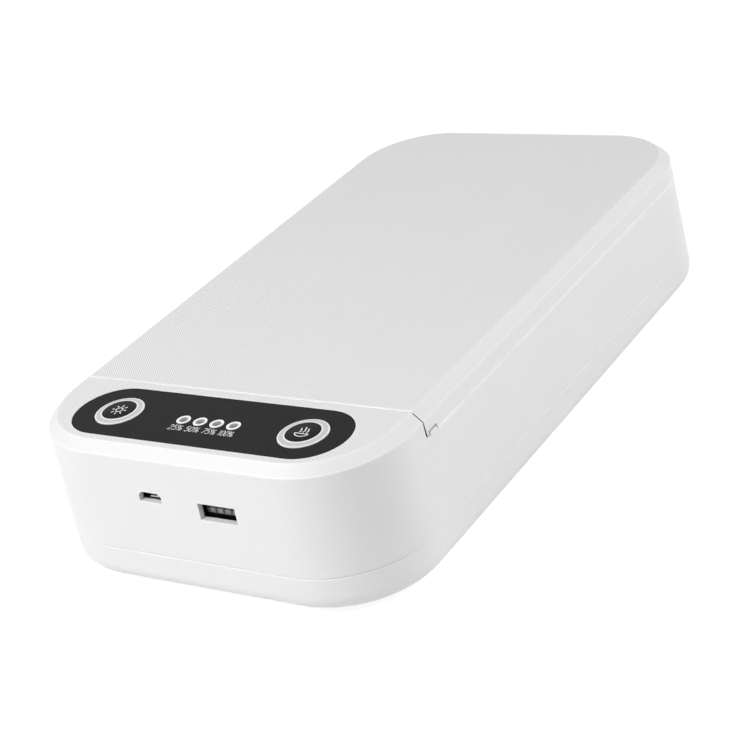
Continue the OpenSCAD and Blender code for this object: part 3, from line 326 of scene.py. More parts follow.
def panel_black():
    """Satin black plastic of the panel and the button discs."""
    s = Shader("panel_plastic", grey(0.012), 0.55, IOR=1.47, Specular_IOR_Level=0.1)
    s.tint(s.noise(0.3 * MM, 1.0), grey(0.006), grey(0.018))
    s.rough(s.noise(6 * MM), 0.5, 0.62)
    s.bump(s.noise(0.25 * MM), 0.006 * MM)
    return s.material


# Radius of the middle of the button's ring, and how far from it the painted highlight of its edges starts and
# is full
RING_MIDDLE = 5.95 * MM
RING_FACE = 0.52 * MM
RING_EDGE = 0.72 * MM
RING_MOTTLE = 0.15


def ring_grey():
    """Satin grey ring with a painted highlight along its two edges."""
    s = Shader("ring_plastic", grey(0.62), 0.3, IOR=1.48)
    low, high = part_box("scent_disc")
    off_middle = s.math("ABSOLUTE", s.math("SUBTRACT", s.from_axis((low + high) / 2), RING_MIDDLE))
    mottle = s.math("MULTIPLY", s.noise(1.5 * MM), RING_MOTTLE)
    s.tint(s.math("MAXIMUM", s.rise(off_middle, RING_FACE, RING_EDGE), mottle), grey(0.6), grey(0.98))
    s.rough(s.noise(3 * MM), 0.24, 0.36)
    s.bump(s.noise(0.3 * MM), 0.004 * MM)
    return s.material


def ring_white():
    """White light guide round each lens, with a faint painted glow."""
    s = Shader("light_ring", grey(0.93), 0.22, IOR=1.49, Emission_Color=WHITE, Emission_Strength=0.12)
    s.tint(s.noise(1.0 * MM), grey(0.91), grey(0.95))
    s.rough(s.noise(1.5 * MM), 0.18, 0.3)
    return s.material


# Middle of the dark core from a lens's lowest corner, and the distances from it where the lens
# starts to clear and is clear; the core is partly the lamp seen through, partly painted shade of the dish
CORE_PLACE = (1.5 * MM, 0.95 * MM)
CORE_R = 0.25 * MM
CORE_END = 1.9 * MM
LENS_MOTTLE = 0.15


def frosted_lens():
    """Frosted light pipe; its dark core beside the middle is partly the lamp seen through, partly painted
    shade.
    """
    s = Shader("lens", grey(0.36), 0.28, IOR=1.5)
    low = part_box("lens_25")[0]
    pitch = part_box("lens_50")[0].x - low.x
    spot = s.spot()
    from_first = s.math("SUBTRACT", spot["X"], low.x + CORE_PLACE[0] - pitch / 2)
    across = s.math("SUBTRACT", s.math("FLOORED_MODULO", from_first, pitch), pitch / 2)
    along = s.math("SUBTRACT", spot["Y"], low.y + CORE_PLACE[1])
    clear = s.rise(s.length(across, along), CORE_R, CORE_END)
    mottle = s.math("MULTIPLY", s.noise(0.5 * MM), LENS_MOTTLE)
    s.tint(s.math("ADD", s.math("MULTIPLY", clear, 1 - LENS_MOTTLE), mottle), grey(0.07), grey(0.5))
    s.rough(s.noise(0.4 * MM), 0.2, 0.4)
    s.bump(s.noise(0.2 * MM), 0.01 * MM)
    return s.material


def clear_resin():
    """Pale resin of the lamps under the lenses."""
    s = Shader("lamp", (0.82, 0.83, 0.78), 0.12, IOR=1.52)
    s.tint(s.noise(0.8 * MM), (0.78, 0.79, 0.72), (0.88, 0.88, 0.85))
    s.rough(s.noise(1 * MM), 0.08, 0.2)
    return s.material


def black_plastic():
    """Moulded black plastic inside the deck."""
    s = Shader("black_plastic", grey(0.025), 0.5, IOR=1.47)
    s.tint(s.noise(0.6 * MM), grey(0.018), grey(0.034))
    s.rough(s.noise(2 * MM), 0.42, 0.58)
    s.bump(s.noise(0.2 * MM), 0.01 * MM)
    return s.material


def solder_mask():
    """Green board with the relief of its copper tracks."""
    s = Shader("board", (0.015, 0.11, 0.045), 0.3, IOR=1.5)
    tracks = s.bands(2.4 * MM, (0, 0, 45), 3.0)
    s.tint(tracks, (0.010, 0.085, 0.033), (0.022, 0.14, 0.06))
    s.rough(s.noise(1.2 * MM), 0.22, 0.4)
    s.bump(tracks, 0.03 * MM)
    return s.material


def plated_steel():
    """Plated steel with fine drawing lines."""
    s = Shader("steel", grey(0.56), 0.3, metallic=1.0)
    lines = s.bands(0.12 * MM, wobble=2.0)
    s.tint(s.noise(1.2 * MM), (0.5, 0.5, 0.51), (0.64, 0.64, 0.65))
    s.rough(lines, 0.22, 0.38)
    s.bump(lines, 0.002 * MM)
    return s.material


def nickel():
    """Nickel plating of the magnets and the electrodes."""
    s = Shader("magnet", (0.6, 0.6, 0.58), 0.18, metallic=1.0)
    s.tint(s.noise(1.5 * MM), (0.55, 0.55, 0.54), (0.66, 0.66, 0.64))
    s.rough(s.noise(0.8 * MM), 0.12, 0.26)
    return s.material


def bright_sheet():
    """Bright rolled sheet of the reflectors, slightly uneven."""
    s = Shader("sheet", (0.86, 0.87, 0.88), 0.16, metallic=1.0)
    s.rough(s.bands(0.25 * MM, wobble=1.0), 0.1, 0.24)
    s.tint(s.noise(8 * MM), (0.82, 0.83, 0.84), (0.9, 0.91, 0.92))
    s.bump(s.noise(6 * MM), 0.05 * MM)
    return s.material


def quartz():
    """Clear quartz glass."""
    s = Shader("tube", (0.93, 0.96, 1.0), 0.05, IOR=1.46, Transmission_Weight=0.85)
    s.rough(s.noise(4 * MM), 0.03, 0.1)
    s.tint(s.noise(12 * MM), (0.9, 0.94, 1.0), (0.97, 0.98, 1.0))
    return s.material


def rubber(name, tone, grain):
    """Matt rubber or silicone."""
    s = Shader(name, grey(tone), 0.72, IOR=1.45)
    s.tint(s.noise(1.5 * MM), grey(tone * 0.85), grey(tone * 1.15))
    s.rough(s.noise(0.9 * MM), 0.62, 0.82)
    s.bump(s.noise(grain), 0.03 * MM)
    return s.material


def felt():
    """Pale felt with fine fibres."""
    s = Shader("felt", (0.72, 0.7, 0.63), 0.95, Sheen_Weight=0.4)
    s.tint(s.noise(0.25 * MM, 6.0), (0.6, 0.58, 0.5), (0.8, 0.78, 0.72))
    s.bump(s.noise(0.2 * MM, 6.0), 0.12 * MM)
    return s.material


def ceramic():
    """Brown ceramic of the heater."""
    s = Shader("ceramic", (0.5, 0.38, 0.25), 0.55)
    s.tint(s.noise(0.8 * MM), (0.44, 0.33, 0.2), (0.56, 0.43, 0.3))
    s.bump(s.noise(0.4 * MM), 0.02 * MM)
    return s.material


def taped_coil():
    """Yellow tape wound round the transformer."""
    s = Shader("coil", (0.62, 0.46, 0.05), 0.35)
    turns = s.bands(1.6 * MM, (0, 90, 0))
    s.tint(turns, (0.55, 0.38, 0.03), (0.7, 0.53, 0.08))
    s.bump(turns, 0.06 * MM)
    return s.material


def print_white():
    """White printing ink."""
    s = Shader("print", grey(0.95), 0.45)
    s.tint(s.noise(0.25 * MM, 1.0), grey(0.86), grey(1.0))
    return s.material


def tinned_contact():
    """Dull tinned metal deep in a socket."""
    s = Shader("contact", grey(0.26), 0.35, metallic=0.1)
    s.tint(s.noise(0.4 * MM), grey(0.2), grey(0.32))
    s.rough(s.bands(0.1 * MM, (0, 0, 90), 1.0), 0.28, 0.42)
    return s.material


def tin_and_painted_glint():
    """Tinned metal at the mouth of a socket, near white as a painted glint."""
    s = Shader("tin_and_painted_glint", grey(0.95), 0.3, metallic=0.2)
    s.tint(s.noise(0.4 * MM), grey(0.9), grey(1.0))
    s.rough(s.noise(0.3 * MM), 0.22, 0.38)
    return s.material


def socket_plastic(name, tone):
    """Matt moulded plastic deep in a socket."""
    s = Shader(name, grey(tone), 0.6, IOR=1.47, Specular_IOR_Level=0.06)
    s.tint(s.noise(0.4 * MM), grey(tone * 0.8), grey(tone * 1.2))
    s.rough(s.noise(1 * MM), 0.5, 0.7)
    return s.material


# Finishes that only made pieces have, with the record's slot that each belongs to
PIECE_FINISHES = {
    "print": (print_white, "light_ring"),
    "contact": (tinned_contact, "magnet"),
    "tin_and_painted_glint": (tin_and_painted_glint, "magnet"),
    "socket_grey": (lambda: socket_plastic("socket_grey", 0.11), "black_plastic"),
    "socket_black": (lambda: socket_plastic("socket_black", 0.004), "black_plastic"),
    # The bead's tone, lighter than the case, is partly its own and partly a painted highlight on the seam
    "seal": (lambda: rubber("seal", 0.96, 0.8 * MM), "silicone"),
}

# Charges that the four lights stand for, from left to right
CHARGES = ("25", "50", "75", "100")
# Corners that have a foot under the case and a tube holder in the lid
CORNERS = ("front_left", "front_right", "rear_left", "rear_right")

# Finish of each CAD node, by the record's slot
FINISHES = {
    "white_plastic": (lambda: satin_white("white_plastic", 0.87, hatched=True),
                      ["main_housing", "bottom_cover", "lid_shell"]),
    "tray_plastic": (lambda: satin_white("tray_plastic", 0.85),
                     ["chamber_tray", "lid_plate", "scent_cup", "scent_grille"]),
    "panel_plastic": (panel_black, ["control_panel", "sterilize_disc", "scent_disc"]),
    "ring_plastic": (ring_grey, ["sterilize_button", "scent_button"]),
    "light_ring": (ring_white, ["light_rings"]),
    "lens": (frosted_lens, ["lens_" + charge for charge in CHARGES]),
    "lamp": (clear_resin, ["led_" + charge for charge in CHARGES]),
    "black_plastic": (black_plastic,
                      ["sterilize_plunger", "scent_plunger", "sterilize_switch", "scent_switch",
                       "usb_a_tongue", "micro_usb_tongue", "lid_sensor"]),
    "board": (solder_mask, ["main_board", "driver_board"]),
    "steel": (plated_steel,
              ["usb_a_shell", "micro_usb_shell", "hinge_pin_left", "hinge_pin_right",
               "lid_screws", "board_screws", "driver_screws", "cover_screws"]),
    "magnet": (nickel, ["lid_magnets", "rim_magnets"]),
    "sheet": (bright_sheet, ["reflector_left", "reflector_right"]),
    "tube": (quartz, ["uv_tube_left", "uv_tube_right"]),
    "rubber": (lambda: rubber("rubber", 0.11, 0.5 * MM), ["foot_" + corner for corner in CORNERS]),
    "silicone": (lambda: rubber("silicone", 0.78, 0.8 * MM), ["tube_holder_" + corner for corner in CORNERS]),
    "cable": (lambda: rubber("cable", 0.06, 0.3 * MM), ["tube_cable", "lid_wiring", "base_wiring"]),
    "felt": (felt, ["scent_pad"]),
    "ceramic": (ceramic, ["scent_heater"]),
    "coil": (taped_coil, ["transformer"]),
}
MATERIALS = {}


def dress_nodes():
    """Makes every finish, and gives each CAD node its own; none may be left out."""
    for name, (make, slot) in PIECE_FINISHES.items():
        MATERIALS[name] = make()
    for slot, (make, names) in FINISHES.items():
        MATERIALS[slot] = make()
        for name in names:
            NODES[name].data.materials.clear()
            NODES[name].data.materials.append(MATERIALS[slot])
    dressed = {name for _, names in FINISHES.values() for name in names}
    assert dressed == set(NODES), sorted(set(NODES) ^ dressed)


# ---------------------------------------------------------------- mesh helpers

# Decimals of a metre to which two vertices have to agree to be one
PLACE_DIGITS = 6


def islands(node):
    """(lowest corner, highest corner) of each separate solid of a CAD node."""
    mesh = NODES[node].data
    spot = {v.index: tuple(round(c, PLACE_DIGITS) for c in v.co) for v in mesh.vertices}
    group = {key: key for key in spot.values()}

    def root(key):
        while group[key] != key:
            key = group[key]
        return key

    for polygon in mesh.polygons:
        first, *others = [root(spot[i]) for i in polygon.vertices]
        for other in others:
            group[root(other)] = root(first)
    found = {}
    for key in group:
        found.setdefault(root(key), []).append(key)
    boxes = [(Vector(map(min, zip(*keys))), Vector(map(max, zip(*keys)))) for keys in found.values()]
    return sorted(boxes, key=lambda box: tuple(box[0]))


def upright(centre):
    """Places (across, along, height) about a vertical line."""
    return lambda x, y, z: (centre[0] + x, centre[1] + y, z)


def sideways(y, z, across):
    """Places a point of an outline in side view, so that a prism over it runs from left to right."""
    return (across, y, z)


def shifted(outline, x, y):
    """An outline in millimetres as points in metres from (x, y)."""
    return [(x + u * MM, y + v * MM) for u, v in outline]


def arc(centre, radii, first, last, steps=12):
    """Points of an ellipse from one angle to another, in degrees."""
    angles = [math.radians(first + (last - first) * i / steps) for i in range(steps + 1)]
    return [(centre[0] + radii[0] * math.cos(a), centre[1] + radii[1] * math.sin(a)) for a in angles]


def band(made, low, high):
    """Faces between two closed loops of as many vertices; a loop may be one vertex over and over."""
    for i in range(len(low)):
        j = (i + 1) % len(low)
        corners = list(dict.fromkeys([low[i], low[j], high[j], high[i]]))
        if len(corners) > 2:
            made.faces.new(corners)


def lathe(made, profile, place, steps=48):
    """Surface of revolution; profile points are (radius, height), and place puts a point in the frame."""
    angles = [2 * math.pi * i / steps for i in range(steps)]
    rings = []
    for radius, height in profile:
        if radius == 0:
            rings.append([made.verts.new(place(0, 0, height))] * steps)
            continue
        ring = [(radius * math.cos(a), radius * math.sin(a)) for a in angles]
        rings.append([made.verts.new(place(x, y, height)) for x, y in ring])
    for low, high in zip(rings, rings[1:]):
        band(made, low, high)
    return rings


def prism(made, outline, z_low, z_high, place):
    """Block over a plain outline."""
    low = [made.verts.new(place(x, y, z_low)) for x, y in outline]
    high = [made.verts.new(place(x, y, z_high)) for x, y in outline]
    band(made, low, high)
    made.faces.new(low)
    made.faces.new(high)


def fill(made, *loops):
    """Flat face between closed loops of vertices, the inner ones left open."""
    edges = []
    for loop in loops:
        for a, b in zip(loop, loop[1:] + loop[:1]):
            edges.append(made.edges.get((a, b)) or made.edges.new((a, b)))
    bmesh.ops.triangle_fill(made, use_beauty=True, use_dissolve=False, edges=edges)


# Longest mitre of a printed stroke, in half widths, and the least cosine that it is worked out from
MITRE_MOST = 1.6
MITRE_LEAST = 0.3
# Distance under which the ends of a stroke are one place
SAME_PLACE = 1e-9


def ribbon(made, points, width, z_low, z_high, place):
    """Raised printed stroke of even width along plan points; it closes where they end as they began."""
    closed = math.dist(points[0], points[-1]) < SAME_PLACE
    line = [Vector(p) for p in (points[:-1] if closed else points)]
    count = len(line)
    rows = []
    for i, point in enumerate(line):
        before = line[i - 1] if i or closed else point
        after = line[(i + 1) % count] if i < count - 1 or closed else point
        into = (point - before).normalized() if point != before else (after - point).normalized()
        out = (after - point).normalized() if point != after else into
        along = (into + out).normalized()
        reach = min(1 / max(along.dot(into), MITRE_LEAST), MITRE_MOST) * width / 2
        across = Vector((-along.y, along.x)) * reach
        left, right = point + across, point - across
        rows.append([made.verts.new(place(*left, z_low)), made.verts.new(place(*left, z_high)),
                     made.verts.new(place(*right, z_high)), made.verts.new(place(*right, z_low))])
    for i in range(count if closed else count - 1):
        band(made, rows[i], rows[(i + 1) % count])
    if not closed:
        made.faces.new(rows[0])
        made.faces.new(rows[-1])


# Turn between two faces, in degrees, from which their edge stays sharp
CREASE = 38


def finish_piece(name, made, finish, body, replaced=()):
    """Turns the made mesh into a piece that rides on a body; tagged faces bound a hollow."""
    bmesh.ops.recalc_face_normals(made, faces=made.faces)
    for face in made.faces:
        if face.tag:
            face.normal_flip()
    mesh = bpy.data.meshes.new(name)
    made.to_mesh(mesh)
    made.free()
    mesh.materials.append(MATERIALS[finish])
    mesh.polygons.foreach_set("use_smooth", [True] * len(mesh.polygons))
    mesh.set_sharp_from_angle(angle=math.radians(CREASE))
    piece = bpy.data.objects.new(name, mesh)
    bpy.context.scene.collection.objects.link(piece)
    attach(piece, body)
    if replaced:
        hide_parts(*replaced)


# ---------------------------------------------------------------- panel

# Strokes of the printed signs in a cell one unit high, with the width each one takes up
GLYPHS = {
    "0": (0.66, [arc((0.3, 0.5), (0.25, 0.47), 0, 360, 20)]),
    "1": (0.46, [[(0.06, 0.78), (0.26, 0.97), (0.26, 0.03)]]),
    "2": (0.66, [arc((0.3, 0.7), (0.24, 0.27), 170, -35, 10) + [(0.06, 0.03), (0.56, 0.03)]]),
    "5": (0.66, [[(0.52, 0.97), (0.13, 0.97), (0.09, 0.55)] + arc((0.28, 0.33), (0.26, 0.3), 120, -145, 12)]),
    "7": (0.64, [[(0.04, 0.97), (0.55, 0.97), (0.2, 0.03)]]),
    "%": (0.86, [arc((0.17, 0.76), (0.14, 0.2), 0, 360, 12), arc((0.69, 0.24), (0.14, 0.2), 0, 360, 12),
                 [(0.66, 0.97), (0.2, 0.03)]]),
}
# Height of the numbers, widest cell and label, width of a stroke, and the label's place from its light
LABEL_HIGH = 2.45 * MM
LABEL_CELL = 2.05 * MM
LABEL_WIDEST = 4.85 * MM
LABEL_STROKE = 0.2 * MM
LABEL_RIGHT = 0.15 * MM
LABEL_DOWN = 3.85 * MM
PRINT_THICK = 0.02 * MM


def make_labels():
    """Charge numbers under the lights, printed on the panel."""
    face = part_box("control_panel")[1].z
    for text, ring in zip(CHARGES, islands("light_rings")):
        centre = (ring[0] + ring[1]) / 2
        signs = [GLYPHS[sign] for sign in text + "%"]
        width_in_cells = sum(width for width, _ in signs)
        cell = min(LABEL_CELL, LABEL_WIDEST / width_in_cells)
        x = centre.x + LABEL_RIGHT - width_in_cells * cell / 2
        y = centre.y - LABEL_DOWN - LABEL_HIGH / 2
        made = bmesh.new()
        for width, strokes in signs:
            for stroke in strokes:
                points = [(x + u * cell, y + v * LABEL_HIGH) for u, v in stroke]
                ribbon(made, points, LABEL_STROKE, face, face + PRINT_THICK, upright((0, 0)))
            x += width * cell
        finish_piece("label_" + text, made, "print", "case")


# Width of a sign's stroke
ICON_STROKE = 0.34 * MM
# Signs in millimetres: the rays' ends from the sun's middle, the bowl, and the wisps as (across, foot, tip)
SUN_RAYS = 8
SUN_RAY = (1.55, 2.4)
BOWL_TOP = -0.75
BOWL_SIZE = (2.0, 1.35)
WISPS = [(-1.1, -0.15, 1.75), (0, -0.15, 2.35), (1.1, -0.15, 1.75)]
WISP_STEPS = 12
WISP_SWAY = 0.22
WISP_TURN = 1.6 * math.pi


def sun_strokes():
    """Small sun for the ultraviolet light: a circle with rays."""
    strokes = [arc((0, 0), (1.0, 1.0), 0, 360, 28)]
    for i in range(SUN_RAYS):
        angle = 2 * math.pi * i / SUN_RAYS
        strokes.append([(r * math.cos(angle), r * math.sin(angle)) for r in SUN_RAY])
    return strokes


def vapour_strokes():
    """Scent bowl with three wisps."""
    strokes = [arc((0, BOWL_TOP), BOWL_SIZE, 180, 360, 16) + [(-BOWL_SIZE[0], BOWL_TOP)]]
    for x, low, high in WISPS:
        wisp = []
        for i in range(WISP_STEPS + 1):
            part = i / WISP_STEPS
            wisp.append((x + WISP_SWAY * math.sin(WISP_TURN * part), low + (high - low) * part))
        strokes.append(wisp)
    return strokes


# How far a disc's face lies under the top of its node, and its edge, in millimetres from its side and face
DISC_SINK = 0.03 * MM
DISC_EDGE = [(0, -0.12), (-0.04, -0.04), (-0.12, 0)]


def make_button_faces():
    """Dark disc with its printed sign, in each button."""
    for name, strokes in (("sterilize", sun_strokes()), ("scent", vapour_strokes())):
        node = name + "_disc"
        low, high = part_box(node)
        centre = (low + high) / 2
        radius = (high.x - low.x) / 2
        face = high.z - DISC_SINK
        profile = [(0, low.z), (radius, low.z), *shifted(DISC_EDGE, radius, face), (0, face)]
        made = bmesh.new()
        lathe(made, profile, upright(centre), steps=72)
        finish_piece(name + "_face", made, "panel_plastic", name + "_key", [node])
        made = bmesh.new()
        for stroke in strokes:
            ribbon(made, shifted(stroke, 0, 0), ICON_STROKE, face, face + PRINT_THICK, upright(centre))
        finish_piece(name + "_sign", made, "print", name + "_key")


# A lens's edge in millimetres from its side and top, and the rim, depth and steps of its dish
LENS_EDGE = [(0, -0.1), (-0.08, 0)]
DISH_RIM = 0.2 * MM
DISH_DEPTH = 0.4 * MM
DISH_STEPS = 8


def make_lenses():
    """Light pipes with a dished end."""
    for charge in CHARGES:
        node = "lens_" + charge
        low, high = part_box(node)
        radius = (high.x - low.x) / 2
        profile = [(0, low.z), (radius, low.z), *shifted(LENS_EDGE, radius, high.z)]
        for i in range(DISH_STEPS + 1):
            part = i / DISH_STEPS
            dip = DISH_DEPTH * math.sin(part * math.pi / 2)
            profile.append(((radius - DISH_RIM) * (1 - part), high.z - dip))
        made = bmesh.new()
        lathe(made, profile, upright((low + high) / 2), steps=40)
        finish_piece(node + "_dish", made, "lens", "case", [node])


# ---------------------------------------------------------------- sockets

# Outlines here are in side view and in millimetres: how far behind the tongue's face, and how high
# Thickness of the black sleeves of painted shade inside the sockets
SHADE_SLEEVE_T = 0.1 * MM
# Large socket: its metal sleeve, its tongue from the sleeve's middle and mouth, and the skin over it
USB_SLEEVE_HIGH = 5.9 * MM
USB_SLEEVE_T = 0.4 * MM
USB_SHADE_SLEEVE_DEEP = 10 * MM
USB_TONGUE_DROP = 0.15 * MM
USB_TONGUE_T = 1.6 * MM
USB_TONGUE_HALF = 5.55 * MM
USB_TONGUE_BACK = 0.8 * MM
SKIN_T = 0.06 * MM
SKIN_DEEP = 6 * MM
SKIN_BEVEL = 0.25 * MM
# Contacts of the large socket, drawn from the top of the tongue's face: outline, number, pitch, width
USB_CONTACT = [(-0.09, -1.45), (-0.16, -1.0), (-0.14, -0.35), (0.2, 0.1), (1.2, 0.25), (2.4, 0.35), (5, 0.1),
               (5, 0), (0.1, -0.1), (0, -1.45)]
USB_CONTACTS = (4, 2.5 * MM, 1.6 * MM)
# The same for the small socket, drawn from the level of the sleeve's middle
MICRO_SLEEVE_T = 0.3 * MM
MICRO_SHADE_SLEEVE_DEEP = 3.6 * MM
MICRO_CONTACT = [(-0.03, -0.6), (1.6, -0.6), (1.6, -0.5), (0.25, -0.45), (-0.03, -0.5)]
MICRO_CONTACTS = (5, 0.65 * MM, 0.4 * MM)
# Parts at the mouth of the small socket: piece, finish, width and outline; they sit right of its middle
MICRO_RIGHT = 0.2 * MM
MICRO_PARTS = [
    ("micro_usb_stem", "socket_black", 2.4 * MM,
     [(-0.6, -0.66), (0.1, -0.66), (0.1, -0.54), (-0.52, -0.54), (-0.6, -0.6)]),
    # The spring is near white: a painted glint at the socket's mouth
    ("micro_usb_spring", "tin_and_painted_glint", 2.8 * MM,
     [(-1.0, -0.7), (-0.55, -0.7), (-0.55, -0.56), (-0.92, -0.56), (-1.0, -0.62)]),
]


def make_shade_sleeve(name, sleeve, inset, depth):
    """Black sleeve of painted shade inside a socket's metal sleeve, with a flange over the sleeve's rim."""
    low, high = sleeve
    made = bmesh.new()
    rings = []
    flange = [(-inset, 0), (-inset, -SHADE_SLEEVE_T), (SHADE_SLEEVE_T, -SHADE_SLEEVE_T)]
    for skin, y in flange + [(SHADE_SLEEVE_T, depth), (0, depth), (0, 0)]:
        left, right = low.x + inset + skin, high.x - inset - skin
        floor, roof = low.z + inset + skin, high.z - inset - skin
        corners = ((left, floor), (right, floor), (right, roof), (left, roof))
        rings.append([made.verts.new((x, low.y + y, z)) for x, z in corners])
    for a, b in zip(rings, rings[1:] + rings[:1]):
        band(made, a, b)
    finish_piece(name, made, "socket_black", "case")


def make_contacts(name, outline, middle, face, level, row):
    """A row of sprung contacts, the outline drawn from the tongue's face and a level."""
    count, pitch, width = row
    made = bmesh.new()
    for i in range(count):
        x = middle + (i - (count - 1) / 2) * pitch
        prism(made, shifted(outline, face, level), x - width / 2, x + width / 2, sideways)
    finish_piece(name, made, "contact", "case")


def make_large_socket():
    """Black sleeve of painted shade, tongue skin and contacts of the USB type A socket."""
    low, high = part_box("usb_a_shell")
    high.z = low.z + USB_SLEEVE_HIGH
    make_shade_sleeve("usb_a_shade_sleeve", (low, high), USB_SLEEVE_T, USB_SHADE_SLEEVE_DEEP)
    middle = (low + high) / 2
    top = middle.z - USB_TONGUE_DROP
    face = low.y + USB_TONGUE_BACK
    under = top - USB_TONGUE_T - SKIN_T
    half = USB_TONGUE_HALF + SKIN_T
    outline = [(face - SKIN_T, under), (face + SKIN_DEEP, under), (face + SKIN_DEEP, top + SKIN_T),
               (face + SKIN_BEVEL, top + SKIN_T), (face - SKIN_T, top - SKIN_BEVEL)]
    made = bmesh.new()
    prism(made, outline, middle.x - half, middle.x + half, sideways)
    finish_piece("usb_a_tongue_skin", made, "socket_grey", "case")
    make_contacts("usb_a_contacts", USB_CONTACT, middle.x, face, top, USB_CONTACTS)


def make_small_socket():
    """Black sleeve of painted shade, contacts and sprung mouth parts of the micro-USB socket."""
    low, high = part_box("micro_usb_shell")
    make_shade_sleeve("micro_usb_shade_sleeve", (low, high), MICRO_SLEEVE_T, MICRO_SHADE_SLEEVE_DEEP)
    middle = (low + high) / 2
    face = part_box("micro_usb_tongue")[0].y
    make_contacts("micro_usb_contacts", MICRO_CONTACT, middle.x, face, middle.z, MICRO_CONTACTS)
    for name, finish, width, outline in MICRO_PARTS:
        x = middle.x + MICRO_RIGHT
        made = bmesh.new()
        prism(made, shifted(outline, face, middle.z), x - width / 2, x + width / 2, sideways)
        finish_piece(name, made, finish, "case")


# ---------------------------------------------------------------- screws

# Piece, node, body, shank's radius, head's height, and which way the head's face looks
SCREWS = [
    ("lid_screw_heads", "lid_screws", "lid", 1.0 * MM, 0.6 * MM, "down"),
    ("cover_screw_heads", "cover_screws", "case", 1.5 * MM, 1.8 * MM, "down"),
    ("board_screw_heads", "board_screws", "case", 1.0 * MM, 1.2 * MM, "down"),
    ("driver_screw_heads", "driver_screws", "case", 1.0 * MM, 1.2 * MM, "up"),
]
# Side of the head, from its face: shares of its radius and of its height
HEAD_PROFILE = [(0.84, 0), (0.95, 0.12), (1, 0.32), (1, 1)]
# Tip of the shank: shares of the shank's radius
TIP_LONG = 0.4
TIP_R = 0.55
# Cross recess: arm and half width as shares of the head's radius, depth of its height, and taper
CROSS_ARM = 0.55
CROSS_HALF = 0.13
CROSS_DEEP = 0.6
CROSS_TAPER = 0.8


def cross_outline(arm, half):
    """Plus-shaped outline of a screw's recess."""
    points = []
    for turn in range(4):
        c, s = math.cos(turn * math.pi / 2), math.sin(turn * math.pi / 2)
        points += [(u * c - v * s, u * s + v * c) for u, v in ((arm, -half), (arm, half), (half, half))]
    return points


def make_screws(name, node, body, shank, head_h, looks):
    """Pan head screws with a cross recess, over each solid of a node."""
    made = bmesh.new()
    for low, high in islands(node):
        centre = (low + high) / 2
        radius = (high.x - low.x) / 2
        face, tip, way = (low.z, high.z, 1) if looks == "down" else (high.z, low.z, -1)
        profile = [(radius * r, face + way * head_h * h) for r, h in HEAD_PROFILE]
        profile += [(shank, face + way * head_h), (shank, tip - way * TIP_LONG * shank), (TIP_R * shank, tip),
                    (0, tip)]
        place = upright(centre)
        rings = lathe(made, profile, place, steps=32)
        cross = cross_outline(radius * CROSS_ARM, radius * CROSS_HALF)
        deep = face + way * CROSS_DEEP * head_h
        rim = [made.verts.new(place(x, y, face)) for x, y in cross]
        floor = [made.verts.new(place(x * CROSS_TAPER, y * CROSS_TAPER, deep)) for x, y in cross]
        band(made, rim, floor)
        made.faces.new(floor)
        fill(made, rings[0], rim)
    finish_piece(name, made, "steel", body, [node])


# ---------------------------------------------------------------- tubes and feet

TUBE_WALL = 0.5 * MM
# Flat part of the tube's sealed end, as a share of its radius
TUBE_END = 0.5
# End of the bore: share of its radius, and millimetres from the tube's end
BORE_END = [(0, 2.5), (0.6, 2.8), (1, 4)]
# Lead and cup of an electrode: radius and distance from the tube's end, in millimetres
ELECTRODE = [(0, 0.2), (0.25, 0.2), (0.25, 4.5), (1.15, 4.5), (1.15, 15.5), (1.0, 15.5), (1.0, 5.0), (0, 5.0)]


def along_tube(x, z):
    """Places (across, up, along) about a line that runs from front to rear."""
    return lambda across, up, along: (x + across, along, z + up)


def two_ended(end, low, high):
    """Profile whose two ends are alike; points of an end are (radius, distance from the end)."""
    return [(r, low + inward) for r, inward in end] + [(r, high - inward) for r, inward in reversed(end)]


def make_tubes():
    """Quartz tubes with sealed ends, and an electrode cup on its lead at either end."""
    for side in ("left", "right"):
        node = "uv_tube_" + side
        low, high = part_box(node)
        place = along_tube((low.x + high.x) / 2, (low.z + high.z) / 2)
        radius = (high.z - low.z) / 2
        bore = radius - TUBE_WALL
        made = bmesh.new()
        tube_end = [(0, 0), (TUBE_END * radius, 0), (radius, radius)]
        lathe(made, two_ended(tube_end, low.y, high.y), place)
        outside = set(made.faces)
        bore_end = [(share * bore, inward * MM) for share, inward in BORE_END]
        lathe(made, two_ended(bore_end, low.y, high.y), place)
        for face in set(made.faces) - outside:
            face.tag = True
        finish_piece("quartz_tube_" + side, made, "tube", "lid", [node])
        made = bmesh.new()
        for end, way in ((low.y, 1), (high.y, -1)):
            lathe(made, [(r * MM, end + way * d * MM) for r, d in ELECTRODE], place, steps=24)
        finish_piece("tube_electrodes_" + side, made, "magnet", "lid")


# Underside of a foot with its two grooves, as radius and height in millimetres; the radius of its
# rounded edge; and how far its top stays under the node's
FOOT_SOLE = [(0, 0), (1.9, 0), (2.1, 0.35), (2.7, 0.35), (2.9, 0),
             (4.3, 0), (4.5, 0.35), (5.1, 0.35), (5.3, 0)]
FOOT_ROUND = 0.6 * MM
FOOT_AIR = 0.05 * MM


def make_feet():
    """Rubber feet with a rounded edge and two grip grooves."""
    for corner in CORNERS:
        node = "foot_" + corner
        low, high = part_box(node)
        radius = (high.x - low.x) / 2
        top = high.z - FOOT_AIR
        edge = arc((radius - FOOT_ROUND, low.z + FOOT_ROUND), (FOOT_ROUND, FOOT_ROUND), -90, 0, 6)
        profile = shifted(FOOT_SOLE, 0, low.z) + edge + [(radius, top), (0, top)]
        made = bmesh.new()
        lathe(made, profile, upright((low + high) / 2), steps=64)
        finish_piece(corner + "_pad", made, "rubber", "case", [node])


# ---------------------------------------------------------------- seals and shade strips

